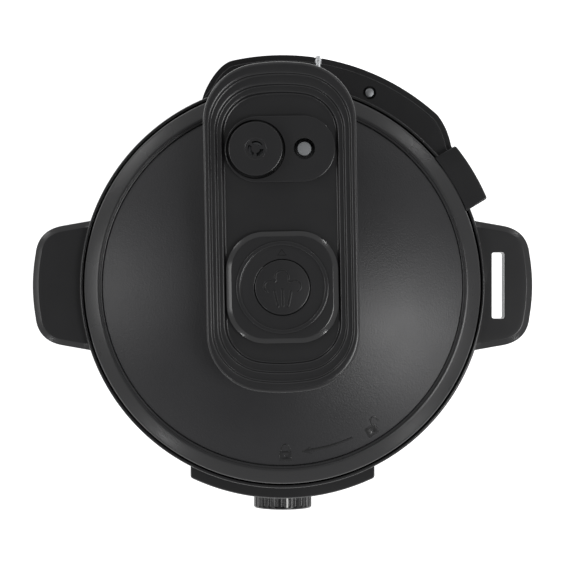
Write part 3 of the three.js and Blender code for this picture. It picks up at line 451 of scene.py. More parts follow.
def plastic(name, tone, lighter, grain_mm, grain_depth_mm, roughness, spread, coat=0.0):
    """Moulded plastic: a fine spark-eroded grain in relief, a faint cloudiness in tone and in gloss."""
    material, tree, shader, place = new_material(name)
    shader.inputs["IOR"].default_value = 1.49
    shader.inputs["Coat Weight"].default_value = coat
    shader.inputs["Coat Roughness"].default_value = 0.08
    clouds = add(tree, "ShaderNodeTexNoise", {"Scale": 1 / (35 * MM), "Detail": 3.0}, {"Vector": place})
    grain = add(tree, "ShaderNodeTexNoise", {"Scale": 1 / (grain_mm * MM), "Detail": 2.0}, {"Vector": place})
    mix = add(tree, "ShaderNodeMix", {"data_type": "RGBA"}, {0: clouds.outputs["Fac"]})
    mix.inputs[6].default_value = colour(tone)
    mix.inputs[7].default_value = colour(lighter)
    tree.links.new(mix.outputs[2], shader.inputs["Base Color"])
    gloss = add(tree, "ShaderNodeMapRange", {
        "From Min": 0.3, "From Max": 0.7, "To Min": roughness - spread, "To Max": roughness + spread,
    }, {"Value": clouds.outputs["Fac"]})
    tree.links.new(gloss.outputs[0], shader.inputs["Roughness"])
    bump = add(tree, "ShaderNodeBump", {"Strength": 1.0, "Distance": grain_depth_mm * MM}, {
        "Height": grain.outputs["Fac"],
    })
    tree.links.new(bump.outputs[0], shader.inputs["Normal"])
    return material


def metal(name, tone, darker, roughness, stretch, line_mm, depth_mm):
    """Worked metal: fine lines left by the tool, stretched along one direction."""
    material, tree, shader, place = new_material(name)
    shader.inputs["Metallic"].default_value = 1.0
    lines_at = add(tree, "ShaderNodeMapping", {"Scale": stretch}, {"Vector": place})
    lines = add(tree, "ShaderNodeTexNoise", {"Scale": 1 / (line_mm * MM), "Detail": 4.0}, {
        "Vector": lines_at.outputs[0],
    })
    clouds = add(tree, "ShaderNodeTexNoise", {"Scale": 1 / (60 * MM), "Detail": 2.0}, {"Vector": place})
    mix = add(tree, "ShaderNodeMix", {"data_type": "RGBA"}, {0: lines.outputs["Fac"]})
    mix.inputs[6].default_value = colour(darker)
    mix.inputs[7].default_value = colour(tone)
    tree.links.new(mix.outputs[2], shader.inputs["Base Color"])
    gloss = add(tree, "ShaderNodeMapRange", {
        "From Min": 0.3, "From Max": 0.7, "To Min": roughness * 0.8, "To Max": roughness * 1.25,
    }, {"Value": clouds.outputs["Fac"]})
    tree.links.new(gloss.outputs[0], shader.inputs["Roughness"])
    bump = add(tree, "ShaderNodeBump", {"Strength": 0.6, "Distance": depth_mm * MM}, {
        "Height": lines.outputs["Fac"],
    })
    tree.links.new(bump.outputs[0], shader.inputs["Normal"])
    return material


# Polypropylene, moulded in a spark-eroded tool: the lid's cover, dark grey-black with a soft broad sheen.
grained_polypropylene = plastic("grained_polypropylene", "#222224", "#262628", 1.2, 0.09, 0.37, 0.02)
# Polypropylene from a finely etched tool: island, button, handles, front and base, with thin crisp lights.
etched_polypropylene = plastic("etched_polypropylene", "#232324", "#272728", 0.6, 0.012, 0.25, 0.02)
# Polypropylene from a smoother tool: rim, rear shelf, tab, dial and raised marks, darker and shinier.
glossed_polypropylene = plastic("glossed_polypropylene", "#1c1c1d", "#1f1f20", 1.0, 0.005, 0.24, 0.02)
# ABS from a honed tool: the ring round the lid and the drip cup, satin, with long soft highlights.
honed_abs = plastic("honed_abs", "#262627", "#29292a", 1.4, 0.008, 0.28, 0.02)
# ABS from a polished tool: the valve panel, the steam cap and the button's surround, glossy and dark.
polished_abs = plastic("polished_abs", "#262627", "#29292a", 2.5, 0.003, 0.17, 0.02)
# Glass-filled nylon: the inlet, inner pieces and the display's digits, dull, with fibres just showing.
filled_nylon = plastic("filled_nylon", "#2f2f30", "#3c3c3d", 0.5, 0.04, 0.6, 0.05)
# Nitrile rubber: the feet and the plunger's catch, dull, with a faint bloom.
moulded_rubber = plastic("moulded_rubber", "#1d1d1e", "#252526", 1.2, 0.06, 0.8, 0.05)
# Smoked acrylic over the display: black, hard and clear.
smoked_acrylic = plastic("smoked_acrylic", "#08090b", "#0a0b0d", 6.0, 0.001, 0.05, 0.01, coat=1.0)
# Glass-epoxy board under green solder mask.
solder_mask = plastic("solder_mask", "#17482c", "#1f5a36", 2.0, 0.02, 0.35, 0.05)
# Pad-printed white ink: the dial's pointer.
white_ink = plastic("white_ink", "#d9d9d6", "#e4e4e1", 0.4, 0.01, 0.5, 0.03)
# Pad-printed grey ink: the dial's scale.
grey_ink = plastic("grey_ink", "#8d8f92", "#979a9d", 0.4, 0.01, 0.5, 0.03)

# Stainless sheet, brushed round the housing: fine level lines that streak the highlights.
brushed_stainless = metal("brushed_stainless", "#b4b6b8", "#9b9da0", 0.3, (0.04, 0.04, 1.0), 0.8, 0.01)
# Stainless, turned and polished: valve weight, pipe, cage, gasket rack, inlet blades, screws and posts.
turned_stainless = metal("turned_stainless", "#a9abad", "#93959a", 0.2, (1.0, 1.0, 1.0), 1.5, 0.004)
# Stainless bar, centreless ground: the stop pin, pale and even along its length.
ground_stainless = metal("ground_stainless", "#dcdee0", "#cfd1d3", 0.42, (1.0, 1.0, 1.0), 0.8, 0.004)
# Stainless bar, blasted after turning: the float and the plunger, an even soft grey from every side.
blasted_stainless = metal("blasted_stainless", "#8e9092", "#858789", 0.5, (1.0, 1.0, 1.0), 0.5, 0.01)
# Stainless sheet, spun: pot, lid plate, bayonet ring and sensor cup, with faint rings up the wall.
spun_stainless = metal("spun_stainless", "#c2c4c6", "#abadb0", 0.24, (0.08, 0.08, 1.0), 1.2, 0.008)
# Aluminium, cast or drawn, left raw: the liner and the heater, soft and grey.
raw_aluminium = metal("raw_aluminium", "#9c9fa2", "#85888b", 0.45, (1.0, 1.0, 1.0), 1.0, 0.03)
# Spring wire, drawn and tempered.
spring_wire = metal("spring_wire", "#8f9194", "#74767a", 0.3, (1.0, 1.0, 1.0), 0.6, 0.006)


def silicone(name):
    """Translucent food-grade silicone: milky, soft-edged, light goes a little way in."""
    material, tree, shader, place = new_material(name)
    shader.inputs["Base Color"].default_value = colour("#cfcfc8")
    shader.inputs["Subsurface Weight"].default_value = 0.35
    shader.inputs["Subsurface Radius"].default_value = (0.004, 0.004, 0.0036)
    shader.inputs["IOR"].default_value = 1.41
    clouds = add(tree, "ShaderNodeTexNoise", {"Scale": 1 / (20 * MM), "Detail": 2.0}, {"Vector": place})
    gloss = add(tree, "ShaderNodeMapRange", {"To Min": 0.38, "To Max": 0.52}, {
        "Value": clouds.outputs["Fac"],
    })
    tree.links.new(gloss.outputs[0], shader.inputs["Roughness"])
    bump = add(tree, "ShaderNodeBump", {"Strength": 0.4, "Distance": 0.05 * MM}, {
        "Height": clouds.outputs["Fac"],
    })
    tree.links.new(bump.outputs[0], shader.inputs["Normal"])
    return material


milky_silicone = silicone("milky_silicone")


# ------------------------------------------------------------------ the lid's cover and ring
def cover_height(radius):
    return COVER_EDGE + COVER_RISE * (1 - (radius / COVER_RADIUS) ** 2)


RING_WIDTH = 10.3  # sloped band
RING_LEDGE = 1.8  # flat lip inside it
RING_EDGE_TOP = RING_TOP - 4.5


def make_cover():
    steps = 40
    outside = [(COVER_RADIUS * i / steps, cover_height(COVER_RADIUS * i / steps)) for i in range(steps + 1)]
    wall = 2.5
    edge = COVER_EDGE
    profile = outside + [(COVER_RADIUS, edge - wall)]
    profile += [(r, z - wall) for r, z in reversed(outside[:-1])]
    cover = lathe("cover_dome", profile, turn=CLOCKING)
    well = shell("well", rounded_box(27, 22, 10, centre=(0, middle("valve_panel")[1])),
                 [(0, 200, 0), (0, 320, 0)])
    slot = block("slot", (-6, 6), (6.3, 68), (200, 330), edge=0.5)
    carve(cover, move(well, CLOCKED), move(slot, CLOCKED))
    settle(cover, grained_polypropylene, "lid", "matte_black_plastic", "lid_cover")

    inner = LID_RADIUS - RING_WIDTH
    lip = inner - RING_LEDGE
    bottom = low("lid_rim_ring")[2]
    skirt = LID_RADIUS - 2.2
    ring = lathe("cover_ring", [
        (LID_RADIUS, bottom, 0.6), (LID_RADIUS, RING_EDGE_TOP + 0.4, 1.6),
        (inner + 1.2, RING_TOP - 0.25, 1.0),
        (inner, RING_TOP - 0.25, 0.25), (inner - 0.25, RING_TOP - 0.75, 0.2),
        (lip + 0.5, RING_TOP - 0.75, 0.4),
        (lip, RING_TOP - 1.3, 0.2), (lip, RING_TOP - 3.6), (skirt, RING_EDGE_TOP - 1.5), (skirt, bottom),
    ], turn=CLOCKING, sharp=30)
    tongue = block("tongue", (skirt - 4, LID_RADIUS + 4), (-12.3, 12.3), (RIM_TOP + 0.7, RIM_TOP + 2.9),
                   edge=0.3)
    move(tongue, TAB_TURN)
    carve(ring, tongue, sharp=30)
    settle(ring, honed_abs, "lid", "satin_black_plastic", "lid_rim_ring")


# ------------------------------------------------------------------ the island on the lid
ISLAND_HALF = 49.5
ISLAND_REAR = 144.5
ISLAND_FRONT = 69.3
ISLAND_CORNER = 38.0
ISLAND_END = 120.0  # radius of the wide arc across each end
ISLAND_STEP = 3.0
SIDE_TREAD = 4.1
REAR_TREADS = (7.7, 6.9, 4.9)
FRONT_TREADS = (6.9, 6.1, 5.8)
STEAM_BORE = 8.6
FLOAT_BORE = 6.75


def island_outline(side, rear, front):
    half, corner, end = ISLAND_HALF - side, ISLAND_CORNER - side, ISLAND_END - side
    offset = half - corner
    rise = math.sqrt((end - corner) ** 2 - offset ** 2)
    meet = math.degrees(math.atan2(rise, offset))
    rear_centre = ISLAND_REAR - rear - end
    front_centre = -ISLAND_FRONT + front + end
    points = arc((offset, rear_centre + rise), corner, 0, meet, 24)
    points += arc((0, rear_centre), end, meet, 180 - meet, 10)[1:]
    points += arc((-offset, rear_centre + rise), corner, 180 - meet, 180, 24)[1:]
    points += side_points(-half, rear_centre + rise, front_centre - rise)
    points += arc((-offset, front_centre - rise), corner, 180, 180 + meet, 24)
    points += arc((0, front_centre), end, 180 + meet, 360 - meet, 10)[1:]
    points += arc((offset, front_centre - rise), corner, 360 - meet, 360, 24)[1:]
    points += side_points(half, front_centre - rise, rear_centre + rise)
    return points


def side_points(x, start, end):
    count = 40
    return [(x, start + (end - start) * k / count) for k in range(1, count)]


def lid_surface(x, y):
    """Height of the closed lid's outer face under a point."""
    radius = math.hypot(x, y)
    inner = LID_RADIUS - RING_WIDTH
    if radius < COVER_RADIUS:
        return cover_height(radius)
    if radius < inner:
        return RING_TOP - 0.8
    if radius < LID_RADIUS:
        return RING_TOP - 0.3 - (radius - inner) / RING_WIDTH * (RING_TOP - RING_EDGE_TOP)
    return -1.0


def make_island():
    # each point: how far in, counted in treads, then its height and its rounding
    path = [(0.0, 0, 0), (0.0, ISLAND_TOP, 2.0)]
    for i in range(3):
        top = ISLAND_TOP - i * ISLAND_STEP
        path.append((i + 1.0, top, 1.35))
        path.append((i + 1.0, top - ISLAND_STEP, 1.1 if i < 2 else 1.5))
    path.append((3.35, ISLAND_FLOOR, 0))

    def insets(t):
        whole = min(int(t), 3)
        rear = sum(REAR_TREADS[:whole])
        front = sum(FRONT_TREADS[:whole])
        part = t - whole
        if whole < 3:
            rear += REAR_TREADS[whole] * part
            front += FRONT_TREADS[whole] * part
        else:
            rear += SIDE_TREAD * part
            front += SIDE_TREAD * part
        return SIDE_TREAD * t, rear, front

    corners = [Vector((t * SIDE_TREAD, z)) for t, z, rounding in path]
    steps = 5
    stops = []
    for i in range(1, len(path) - 1):
        here, rounding = corners[i], path[i][2]
        start = here + (corners[i - 1] - here).normalized() * rounding
        end = here + (corners[i + 1] - here).normalized() * rounding
        for k in range(steps + 1):
            s = k / steps
            stops.append(tuple(start * (1 - s) ** 2 + here * 2 * s * (1 - s) + end * s * s))
    stops.append(tuple(corners[-1]))

    wall = 3.0
    rim = island_outline(0, 0, 0)
    inner = island_outline(wall, wall, wall)
    ceiling = ISLAND_FLOOR - wall

    def seat(x, y):
        return max(ISLAND_BOTTOM, lid_surface(x, y) - 0.5)

    loops = [[(x, y, ceiling) for x, y in inner]]
    loops.append([(x, y, seat(x, y) + 0.2) for x, y in inner])
    loops.append([(x, y, seat(x, y)) for x, y in island_outline(1.0, 1.0, 1.0)])
    loops.append([(x, y, seat(x, y) + 0.3) for x, y in island_outline(0.15, 0.15, 0.15)])
    loops.append([(x, y, seat(x, y) + 1.0) for x, y in rim])
    for across, z in stops:
        t = across / SIDE_TREAD
        loops.append([(x, y, z) for x, y in island_outline(*insets(t))])
    island = loft("lid_plateau", loops, turn=CLOCKING, sharp=50)
    button_bore = half_width("release_button") + 0.6
    holes = []
    for node, bore in (
        ("release_button", button_bore), ("steam_valve_weight", STEAM_BORE), ("float_valve", FLOAT_BORE),
    ):
        holes.append(drill(bore, ceiling - 2, ISLAND_FLOOR + 1, middle(node)[:2], SMALL))
    carve(island, *holes, sharp=50)
    settle(island, etched_polypropylene, "lid", "matte_black_plastic", "lid_island")


def make_tab():
    reach = LID_RADIUS + 16.0
    half = 20.4
    inner = LID_RADIUS + 0.3
    start = math.degrees(math.asin(half / inner))
    end = math.degrees(math.asin((half - 2.0) / reach))
    points = arc((0, 0), inner, start, -start, 24)
    points += bend((reach - 3.0, -half), (reach - 1.3, -half), polar(reach, -end), 5)
    points += arc((0, 0), reach, -end, end, 24)[1:]
    points += bend(polar(reach, end), (reach - 1.3, half), (reach - 3.0, half), 5)[1:]
    outline = without_repeats(points)
    bottom, top = low("lid_tab")[2], high("lid_tab")[2]
    neck = RIM_TOP + 1.0
    weights = [0.0 if math.hypot(*p) < inner + 0.01 else 1.0 for p in outline]
    tab = shell("lid_tab_cover", outline, [
        (0.8, bottom, 0), (0, bottom + 0.8, 0.4), (0, top - 0.5, 0.45), (0.7, top, 0.45), (1.4, top, 0),
    ], weights)
    room = lathe("room",
                 [(0, bottom - 5), (RIM_RADIUS + 0.6, bottom - 5), (RIM_RADIUS + 0.6, neck, 0.4), (0, neck)])
    ribs = repeat(block("rib", (RIM_RADIUS + 4.0, RIM_RADIUS + 10.0), (-14.2, -12.6),
                        (bottom - 3, bottom + 2.2), 0.3),
                  6, (0, 5.36, 0))
    carve(tab, room, ribs)
    tongue = block("tongue", (LID_RADIUS - 5.2, inner + 2), (-12, 12), (neck, neck + 1.6), edge=0.3)
    carve(tab, tongue, operation="UNION")
    move(tab, TAB_TURN)
    settle(tab, glossed_polypropylene, "lid", "matte_black_plastic", "lid_tab")


# ------------------------------------------------------------------ valves on the lid
def make_valves():
    steam = middle("steam_valve_cap")
    floater = middle("float_valve")
    centre = middle("valve_panel")
    outline = rounded_box(35.75, 21.4, 21.39, 24)
    panel = shell("valve_plate", outline, [
        (0, PANEL_BOTTOM - 0.3, 0), (0, PANEL_TOP, 0.55), (2.5, PANEL_TOP, 0),
    ])
    move(panel, shift(centre[0], centre[1], 0) @ CLOCKED)
    recess_floor = PANEL_TOP - 3.4
    recess = lathe("recess", [
        (0, recess_floor), (18.9, recess_floor, 0.6), (18.9, PANEL_TOP - 0.3, 0.2), (19.25, PANEL_TOP + 0.05),
        (19.25, PANEL_TOP + 2), (0, PANEL_TOP + 2),
    ], steam[:2], 96)
    through = drill(STEAM_BORE, PANEL_BOTTOM - 3, PANEL_TOP, steam[:2], SMALL)
    hole = lathe("hole", [
        (0, PANEL_BOTTOM - 3), (FLOAT_BORE, PANEL_BOTTOM - 3), (FLOAT_BORE, PANEL_TOP - 0.3, 0.2),
        (7.1, PANEL_TOP + 0.05), (7.1, PANEL_TOP + 2), (0, PANEL_TOP + 2),
    ], floater[:2], SMALL)
    carve(panel, recess, through, hole)
    settle(panel, polished_abs, "lid", "gloss_black_plastic", "valve_panel")

    make_steam_cap(steam)
    bottom, top = low("float_valve")[2], high("float_valve")[2]
    pin = lathe("float_pin", [
        (0, bottom), (4.2, bottom, 0.4), (4.2, bottom + 1.5, 0.4), (2.2, bottom + 1.5), (2.2, top - 4),
        (4.75, top - 4, 0.3), (4.75, top - 0.45, 0.15), (4.3, top - 0.02, 0.15), (0, top),
    ], floater[:2], SMALL, sharp=30)
    settle(pin, blasted_stainless, "float", "stainless_steel", "float_valve")
    seal_low, seal_high = low("float_seal")[2], high("float_seal")[2]
    seal = lathe("float_washer", [
        (2.5, seal_low, 0.3), (6.2, seal_low, 0.8), (6.2, seal_high, 0.8), (2.5, seal_high, 0.3),
    ], floater[:2], SMALL)
    settle(seal, milky_silicone, "float", "silicone", "float_seal")


def make_steam_cap(steam):
    bottom, top = low("steam_valve_cap")[2], high("steam_valve_cap")[2]
    centre = steam[:2]
    radius = 17.35
    web = top - 0.4  # face of the vent's web, sunk a little below the cap
    cap = lathe("steam_cap", [
        (0, bottom), (radius, bottom, 0.8), (radius, top, 0.55), (7.0, top, 0.15), (6.8, web, 0.15), (0, web),
    ], centre, 128)
    vents = []
    for start, end in ((29, 121), (149, 251), (279, 357)):
        kidney = arc((0, 0), 5.0, start, end, 20) + arc((0, 0), 2.85, end - 4, start + 4, 14)
        vent = shell("vent", kidney,
                     [(0, bottom - 2, 0), (0, web - 0.15, 0), (-0.12, web + 0.02, 0), (-0.12, top, 0)])
        vents.append(move(vent, shift(centre[0], centre[1], 0)))
    carve(cap, *vents)
    settle(cap, polished_abs, "steam_valve", "gloss_black_plastic", "steam_valve_cap")

    low_z, high_z = low("steam_valve_weight")[2], high("steam_valve_weight")[2]
    weight = lathe("valve_weight", [
        (0, low_z + 6), (5.4, low_z + 6, 0.5), (6.0, high_z, 0.4), (8.0, high_z, 0.8), (8.0, low_z + 2),
        (10.5, low_z + 2, 0.3), (10.5, low_z, 0.3), (6.1, low_z), (6.1, low_z + 3.0), (0, low_z + 3.0),
    ][::-1], middle("steam_valve_weight")[:2], SMALL)
    settle(weight, turned_stainless, "steam_valve", "stainless_steel", "steam_valve_weight")


# ------------------------------------------------------------------ release button
def make_release():
    button_radius = half_width("release_button")
    bezel_bottom = low("release_bezel")[2]
    bezel_top = bezel_bottom + 5.0
    ring_top = high("release_bezel")[2]
    x, y = middle("release_bezel")[:2]
    outline = rounded_box(36.4, 36.4, 25.4, 24)
    bezel = shell("release_surround", outline, [
        (0, bezel_bottom - 0.3, 0), (0, bezel_bottom + 3.4, 0.5), (3.6, bezel_top, 0.4), (5.0, bezel_top, 0),
    ])
    move(bezel, shift(x, y, 0) @ CLOCKED)
    dish = lathe("dish", [
        (0, bezel_bottom - 2), (button_radius + 0.5, bezel_bottom - 2),
        (button_radius + 0.5, bezel_top - 0.9, 0.3),
        (22.0, bezel_top - 0.75, 2.0), (27.0, bezel_top - 0.25, 1.0), (28.4, bezel_top + 0.1),
        (28.4, bezel_top + 4), (0, bezel_top + 4),
    ], (x, y), 128)
    carve(bezel, dish)
    ring = lathe("ring", [
        (27.0, bezel_top - 1.4, 0.3), (30.4, bezel_top - 1.4, 0.3), (29.9, ring_top, 0.6),
        (27.3, ring_top, 0.6),
    ], (x, y), 128)
    carve(bezel, ring, operation="UNION")
    settle(bezel, polished_abs, "lid", "matte_black_plastic", "release_bezel")

    button_top = high("release_button")[2]
    disc_bottom = button_top - 2.5
    skirt_bottom = cover_height(0) + 3.8
    button = lathe("release_disc", [
        (0, disc_bottom), (7.5, disc_bottom), (7.5, skirt_bottom, 0.2), (9.0, skirt_bottom, 0.2),
        (9.0, disc_bottom), (button_radius, disc_bottom, 0.4), (button_radius, button_top - 0.05, 0.7),
        (0, button_top - 0.35),
    ], (x, y), 128)
    finger = block("finger", (-3, 3), (7.6, 16.0), (low("release_button")[2], ISLAND_FLOOR - 3.6), edge=0.3)
    neck = block("neck", (-3, 3), (7.6, 8.5), (ISLAND_FLOOR - 6, skirt_bottom + 3), edge=0.2)
    for part in (finger, neck):
        move(part, shift(x, y, 0) @ CLOCKED)
    carve(button, finger, neck, operation="UNION")
    settle(button, etched_polypropylene, "button", "matte_black_plastic", "release_button")

    def on_button(px, py):
        return button_top - 0.35 + 0.3 * math.hypot(px - x, py - y) / button_radius

    def turned_to(points):
        c, s = math.cos(CLOCKING), math.sin(CLOCKING)
        return [(x + px * c - py * s, y + px * s + py * c) for px, py in points]

    parts = []
    for points, width in steam_symbol():
        parts.append(raised_band("band", turned_to(points), width, 0.3, on_button))
    icon = merge("steam_symbol", parts)
    settle(icon, glossed_polypropylene, "button", "matte_black_plastic")
    triangle = [(-2.6, 20.7), (2.6, 20.7), (0.0, 24.6)]

    def on_dish(px, py):
        return bezel_top - 0.9 + 0.55 * (math.hypot(px - x, py - y) - 19) / 8

    mark = raised_band("press_mark", turned_to(triangle), 0.45, 0.22, on_dish, closed=True)
    settle(mark, glossed_polypropylene, "lid", "matte_black_plastic")


def steam_symbol():
    """A plain cloud of three lobes over three leaning jets, as centre lines with their widths."""
    cloud = []
    lobes = (((8.1, 0.65), 3.8, -62, 132), ((-0.2, 6.6), 4.4, -30, 210), ((-8.0, 0.65), 3.8, 48, 242))
    for centre, radius, start, end in lobes:
        cloud += arc(centre, radius, start, end, 18)
    bands = [(without_repeats(cloud), 1.5)]
    jets = (((-5.0, -2.6), (-3.0, -12.0)), ((0.0, -1.6), (0.2, -12.0)), ((5.5, -2.6), (3.5, -12.0)))
    for top, foot in jets:
        bands.append(([tuple(a + (b - a) * k / 10 for a, b in zip(top, foot)) for k in range(11)], 2.0))
    return bands


def raised_band(name, points, width, lift, height_at, closed=False):
    """A raised flat band with round ends along a line on a surface, or round a closed line."""
    count = len(points)
    sections = []
    for i, (x, y) in enumerate(points):
        before = points[i - 1] if closed or i > 0 else points[i]
        after = points[(i + 1) % count] if closed or i < count - 1 else points[i]
        along = Vector((after[0] - before[0], after[1] - before[1])).normalized()
        sections.append((Vector((x, y)), along, 1.0))
    if not closed:
        for end, side in ((0, -1), (-1, 1)):
            place, along = sections[end][:2]
            caps = []
            for k in range(1, 6):
                turn = math.radians(90 * k / 5.3)
                caps.append((place + along * side * width / 2 * math.sin(turn), along, math.cos(turn)))
            sections = caps[::-1] + sections if end == 0 else sections + caps
    edge = min(0.3, width * 0.3)
    vertices, faces = [], []
    for place, along, share in sections:
        across = Vector((-along.y, along.x))
        half = width / 2 * share
        top = max(half - edge, half * 0.3)
        right = [(half, -0.4), (half, lift * 0.4), ((half + top) / 2, lift * 0.85), (top, lift)]
        left = [(-reach, rise) for reach, rise in reversed(right)]
        for reach, rise in right + left:
            point = place + across * reach
            vertices.append((point.x, point.y, height_at(point.x, point.y) + rise))
    total = len(sections)
    for i in range(total if closed else total - 1):
        a, b = 8 * i, 8 * ((i + 1) % total)
        for k in range(8):
            n = (k + 1) % 8
            faces.append((a + k, a + n, b + n, b + k))
    if not closed:
        faces.append(tuple(range(8)))
        faces.append(tuple(8 * (total - 1) + k for k in range(8)))
    return as_piece(name, vertices, faces)


def raised_plate(name, outline, lift, height_at, hole=None):
    """A raised plate with a soft edge that follows a surface, with an optional hole through it."""
    loops = []
    for distance, rise in ((0, -0.4), (0, lift * 0.4), (0.12, lift * 0.85), (0.35, lift)):
        loops.append([(x, y, height_at(x, y) + rise) for x, y in inset(outline, distance)])
    if hole:
        for distance, rise in ((-0.25, lift), (-0.06, lift * 0.7), (0, lift * 0.3), (0, -0.4)):
            loops.append([(x, y, height_at(x, y) + rise) for x, y in inset(hole, distance)])
        loops.append(loops[0])
        return loft(name, loops, (False, False))
    return loft(name, loops)


def make_lock_marks():
    """Closed lock, open lock and the arrow between them, raised and polished near the cover's front."""
    radius, rise = 110.1, 0.28

    def at(local, turn):
        c, s = math.cos(math.radians(turn)), math.sin(math.radians(turn))
        return [(-s * px + c * (radius - py), c * px + s * (radius - py)) for px, py in local]

    def on_cover(px, py):
        return cover_height(math.hypot(px, py))

    body = rounded_box(4.1, 3.2, 0.6, 5, (0, -2.2))
    keyhole = arc((0, -2.0), 0.75, 0, 360, len(body))[:-1]
    start = min(range(len(body)), key=lambda i: math.dist(body[i], (4.1, -2.2)))
    body = body[start:] + body[:start]
    closed_bow = [(-2.6, 0.6), (-2.6, 2.6)] + arc((0, 2.8), 2.6, 180, 0, 14) + [(2.6, 2.6), (2.6, 0.6)]
    open_bow = [(2.0, 0.6), (2.0, 2.6)] + arc((4.5, 2.8), 2.5, 180, 0, 14) + [(7.0, 1.6)]
    parts = []
    for turn, bow in ((-90, closed_bow), (-59.3, open_bow)):
        parts.append(raised_plate("lock", at(body, turn), rise, on_cover, at(keyhole, turn)))
        parts.append(raised_band("bow", at(without_repeats(bow), turn), 1.1, rise, on_cover))
    tail, neck, tip = -66.0, -81.4, -84.4
    turns = [tail + (neck - tail) * k / 30 for k in range(31)]
    widths = [0.5 + 0.6 * k / 30 for k in range(31)]
    shaft = [polar(radius - w, t) for w, t in zip(widths, turns)]
    shaft += [polar(radius - 2.5, neck + 0.3), polar(radius, tip), polar(radius + 2.5, neck + 0.3)]
    shaft += [polar(radius + w, t) for w, t in zip(widths[::-1], turns[::-1])]
    parts.append(raised_plate("arrow", shaft[::-1], rise, on_cover))
    marks = merge("lock_marks", parts)
    move(marks, CLOCKED)
    settle(marks, glossed_polypropylene, "lid", "matte_black_plastic")


# ------------------------------------------------------------------ the lid's steel side
def bayonet_lugs(outer, inner, bottom, top):
    """Six lugs round the axis, in line with the closed lid."""
    outline = arc((0, 0), outer, -10, 10, 12) + arc((0, 0), inner, 10, -10, 12)
    lug = shell("lug", outline, [(0.4, bottom, 0), (0, bottom + 0.4, 0), (0, top - 0.4, 0), (0.4, top, 0)])
    return repeat(lug, 6, first=math.degrees(CLOCKING), turn=60)


def make_lid_inside():
    bottom, top = low("lid_plate")[2], high("lid_plate")[2]
    radius, wall, crown = 118.8, 1.5, top - 1.5
    shoulder = radius - 13.0
    plate = lathe("steel_lid_plate", [
        (0, crown), (60, crown), (shoulder - 2.5, crown, 1.5), (shoulder, bottom, 1.5), (radius, bottom, 0.4),
        (radius, bottom + wall, 0.4), (shoulder + 0.5, bottom + wall, 1.5), (shoulder - 2.0, top, 1.5),
        (0, top),
    ], turn=CLOCKING)
    carve(plate, bayonet_lugs(125.3, radius - 1, bottom, bottom + wall), operation="UNION")
    vents = []
    for node, hole in (("exhaust_pipe", 5.8), ("float_valve", 2.8)):
        vents.append(drill(hole, crown - 2, top + 2, middle(node)[:2], 32))
    carve(plate, *vents)
    settle(plate, spun_stainless, "lid", "stainless_steel", "lid_plate")

    seal_low, seal_high = low("sealing_ring")[2], high("sealing_ring")[2]
    outer = half_width("sealing_ring")
    inner = outer - 6.5
    seal = lathe("silicone_gasket", [
        (inner, seal_low + 1.5, 0.4), (inner + 1.5, seal_low, 0.8), (outer, seal_low, 1.2),
        (outer, seal_high, 1.2), (inner, seal_high, 0.6), (inner, seal_low + 5.2, 0.3),
        (inner + 2.2, seal_low + 4.4, 0.3), (inner + 2.2, seal_low + 3.0, 0.3), (inner, seal_low + 2.4, 0.3),
    ])
    settle(seal, milky_silicone, "seal", "silicone", "sealing_ring")
    rack_low, rack_high = low("seal_rack")[2], high("seal_rack")[2]
    outer = half_width("seal_rack")
    rack = lathe("gasket_rack", [
        (outer - 2.6, rack_low, 0.8), (outer, rack_low, 0.8), (outer, rack_high, 0.8),
        (outer - 2.6, rack_high, 0.8),
    ])
    settle(rack, turned_stainless, "lid", "stainless_steel", "seal_rack")

    centre = middle("anti_block_shield")[:2]
    cage_low, cage_high = low("anti_block_shield")[2], high("anti_block_shield")[2]
    cage = lathe("steam_cage", [
        (0, cage_low), (13.0, cage_low, 1.5), (13.0, cage_high), (12.0, cage_high), (12.0, cage_low + 1, 1.0),
        (0, cage_low + 1),
    ], centre, SMALL)
    slot = block("slot", (6, 20), (-1.5, 1.5), (cage_low + 3, cage_high - 3), edge=0.7)
    slots = move(repeat(slot, 12, turn=30), shift(centre[0], centre[1], 0))
    drain = block("drain", (-8, 8), (-1.1, 1.1), (cage_low - 2, cage_low + 2), edge=1.0)
    drains = move(repeat(move(drain, shift(0, -6, 0)), 4, (0, 4, 0)), shift(centre[0], centre[1], 0))
    carve(cage, slots, drains)
    settle(cage, turned_stainless, "lid", "stainless_steel", "anti_block_shield")

    pipe_low, pipe_high = low("exhaust_pipe")[2], high("exhaust_pipe")[2]
    pipe = lathe("steam_pipe", [
        (2.5, pipe_low, 0.3), (5.5, pipe_low, 0.4), (5.5, top + 0.3), (8.0, top + 0.3, 0.3),
        (8.0, top + 3, 0.3),
        (5.5, top + 3), (5.5, pipe_high, 0.5), (2.5, pipe_high, 0.5),
    ], middle("exhaust_pipe")[:2], SMALL)
    settle(pipe, turned_stainless, "lid", "stainless_steel", "exhaust_pipe")


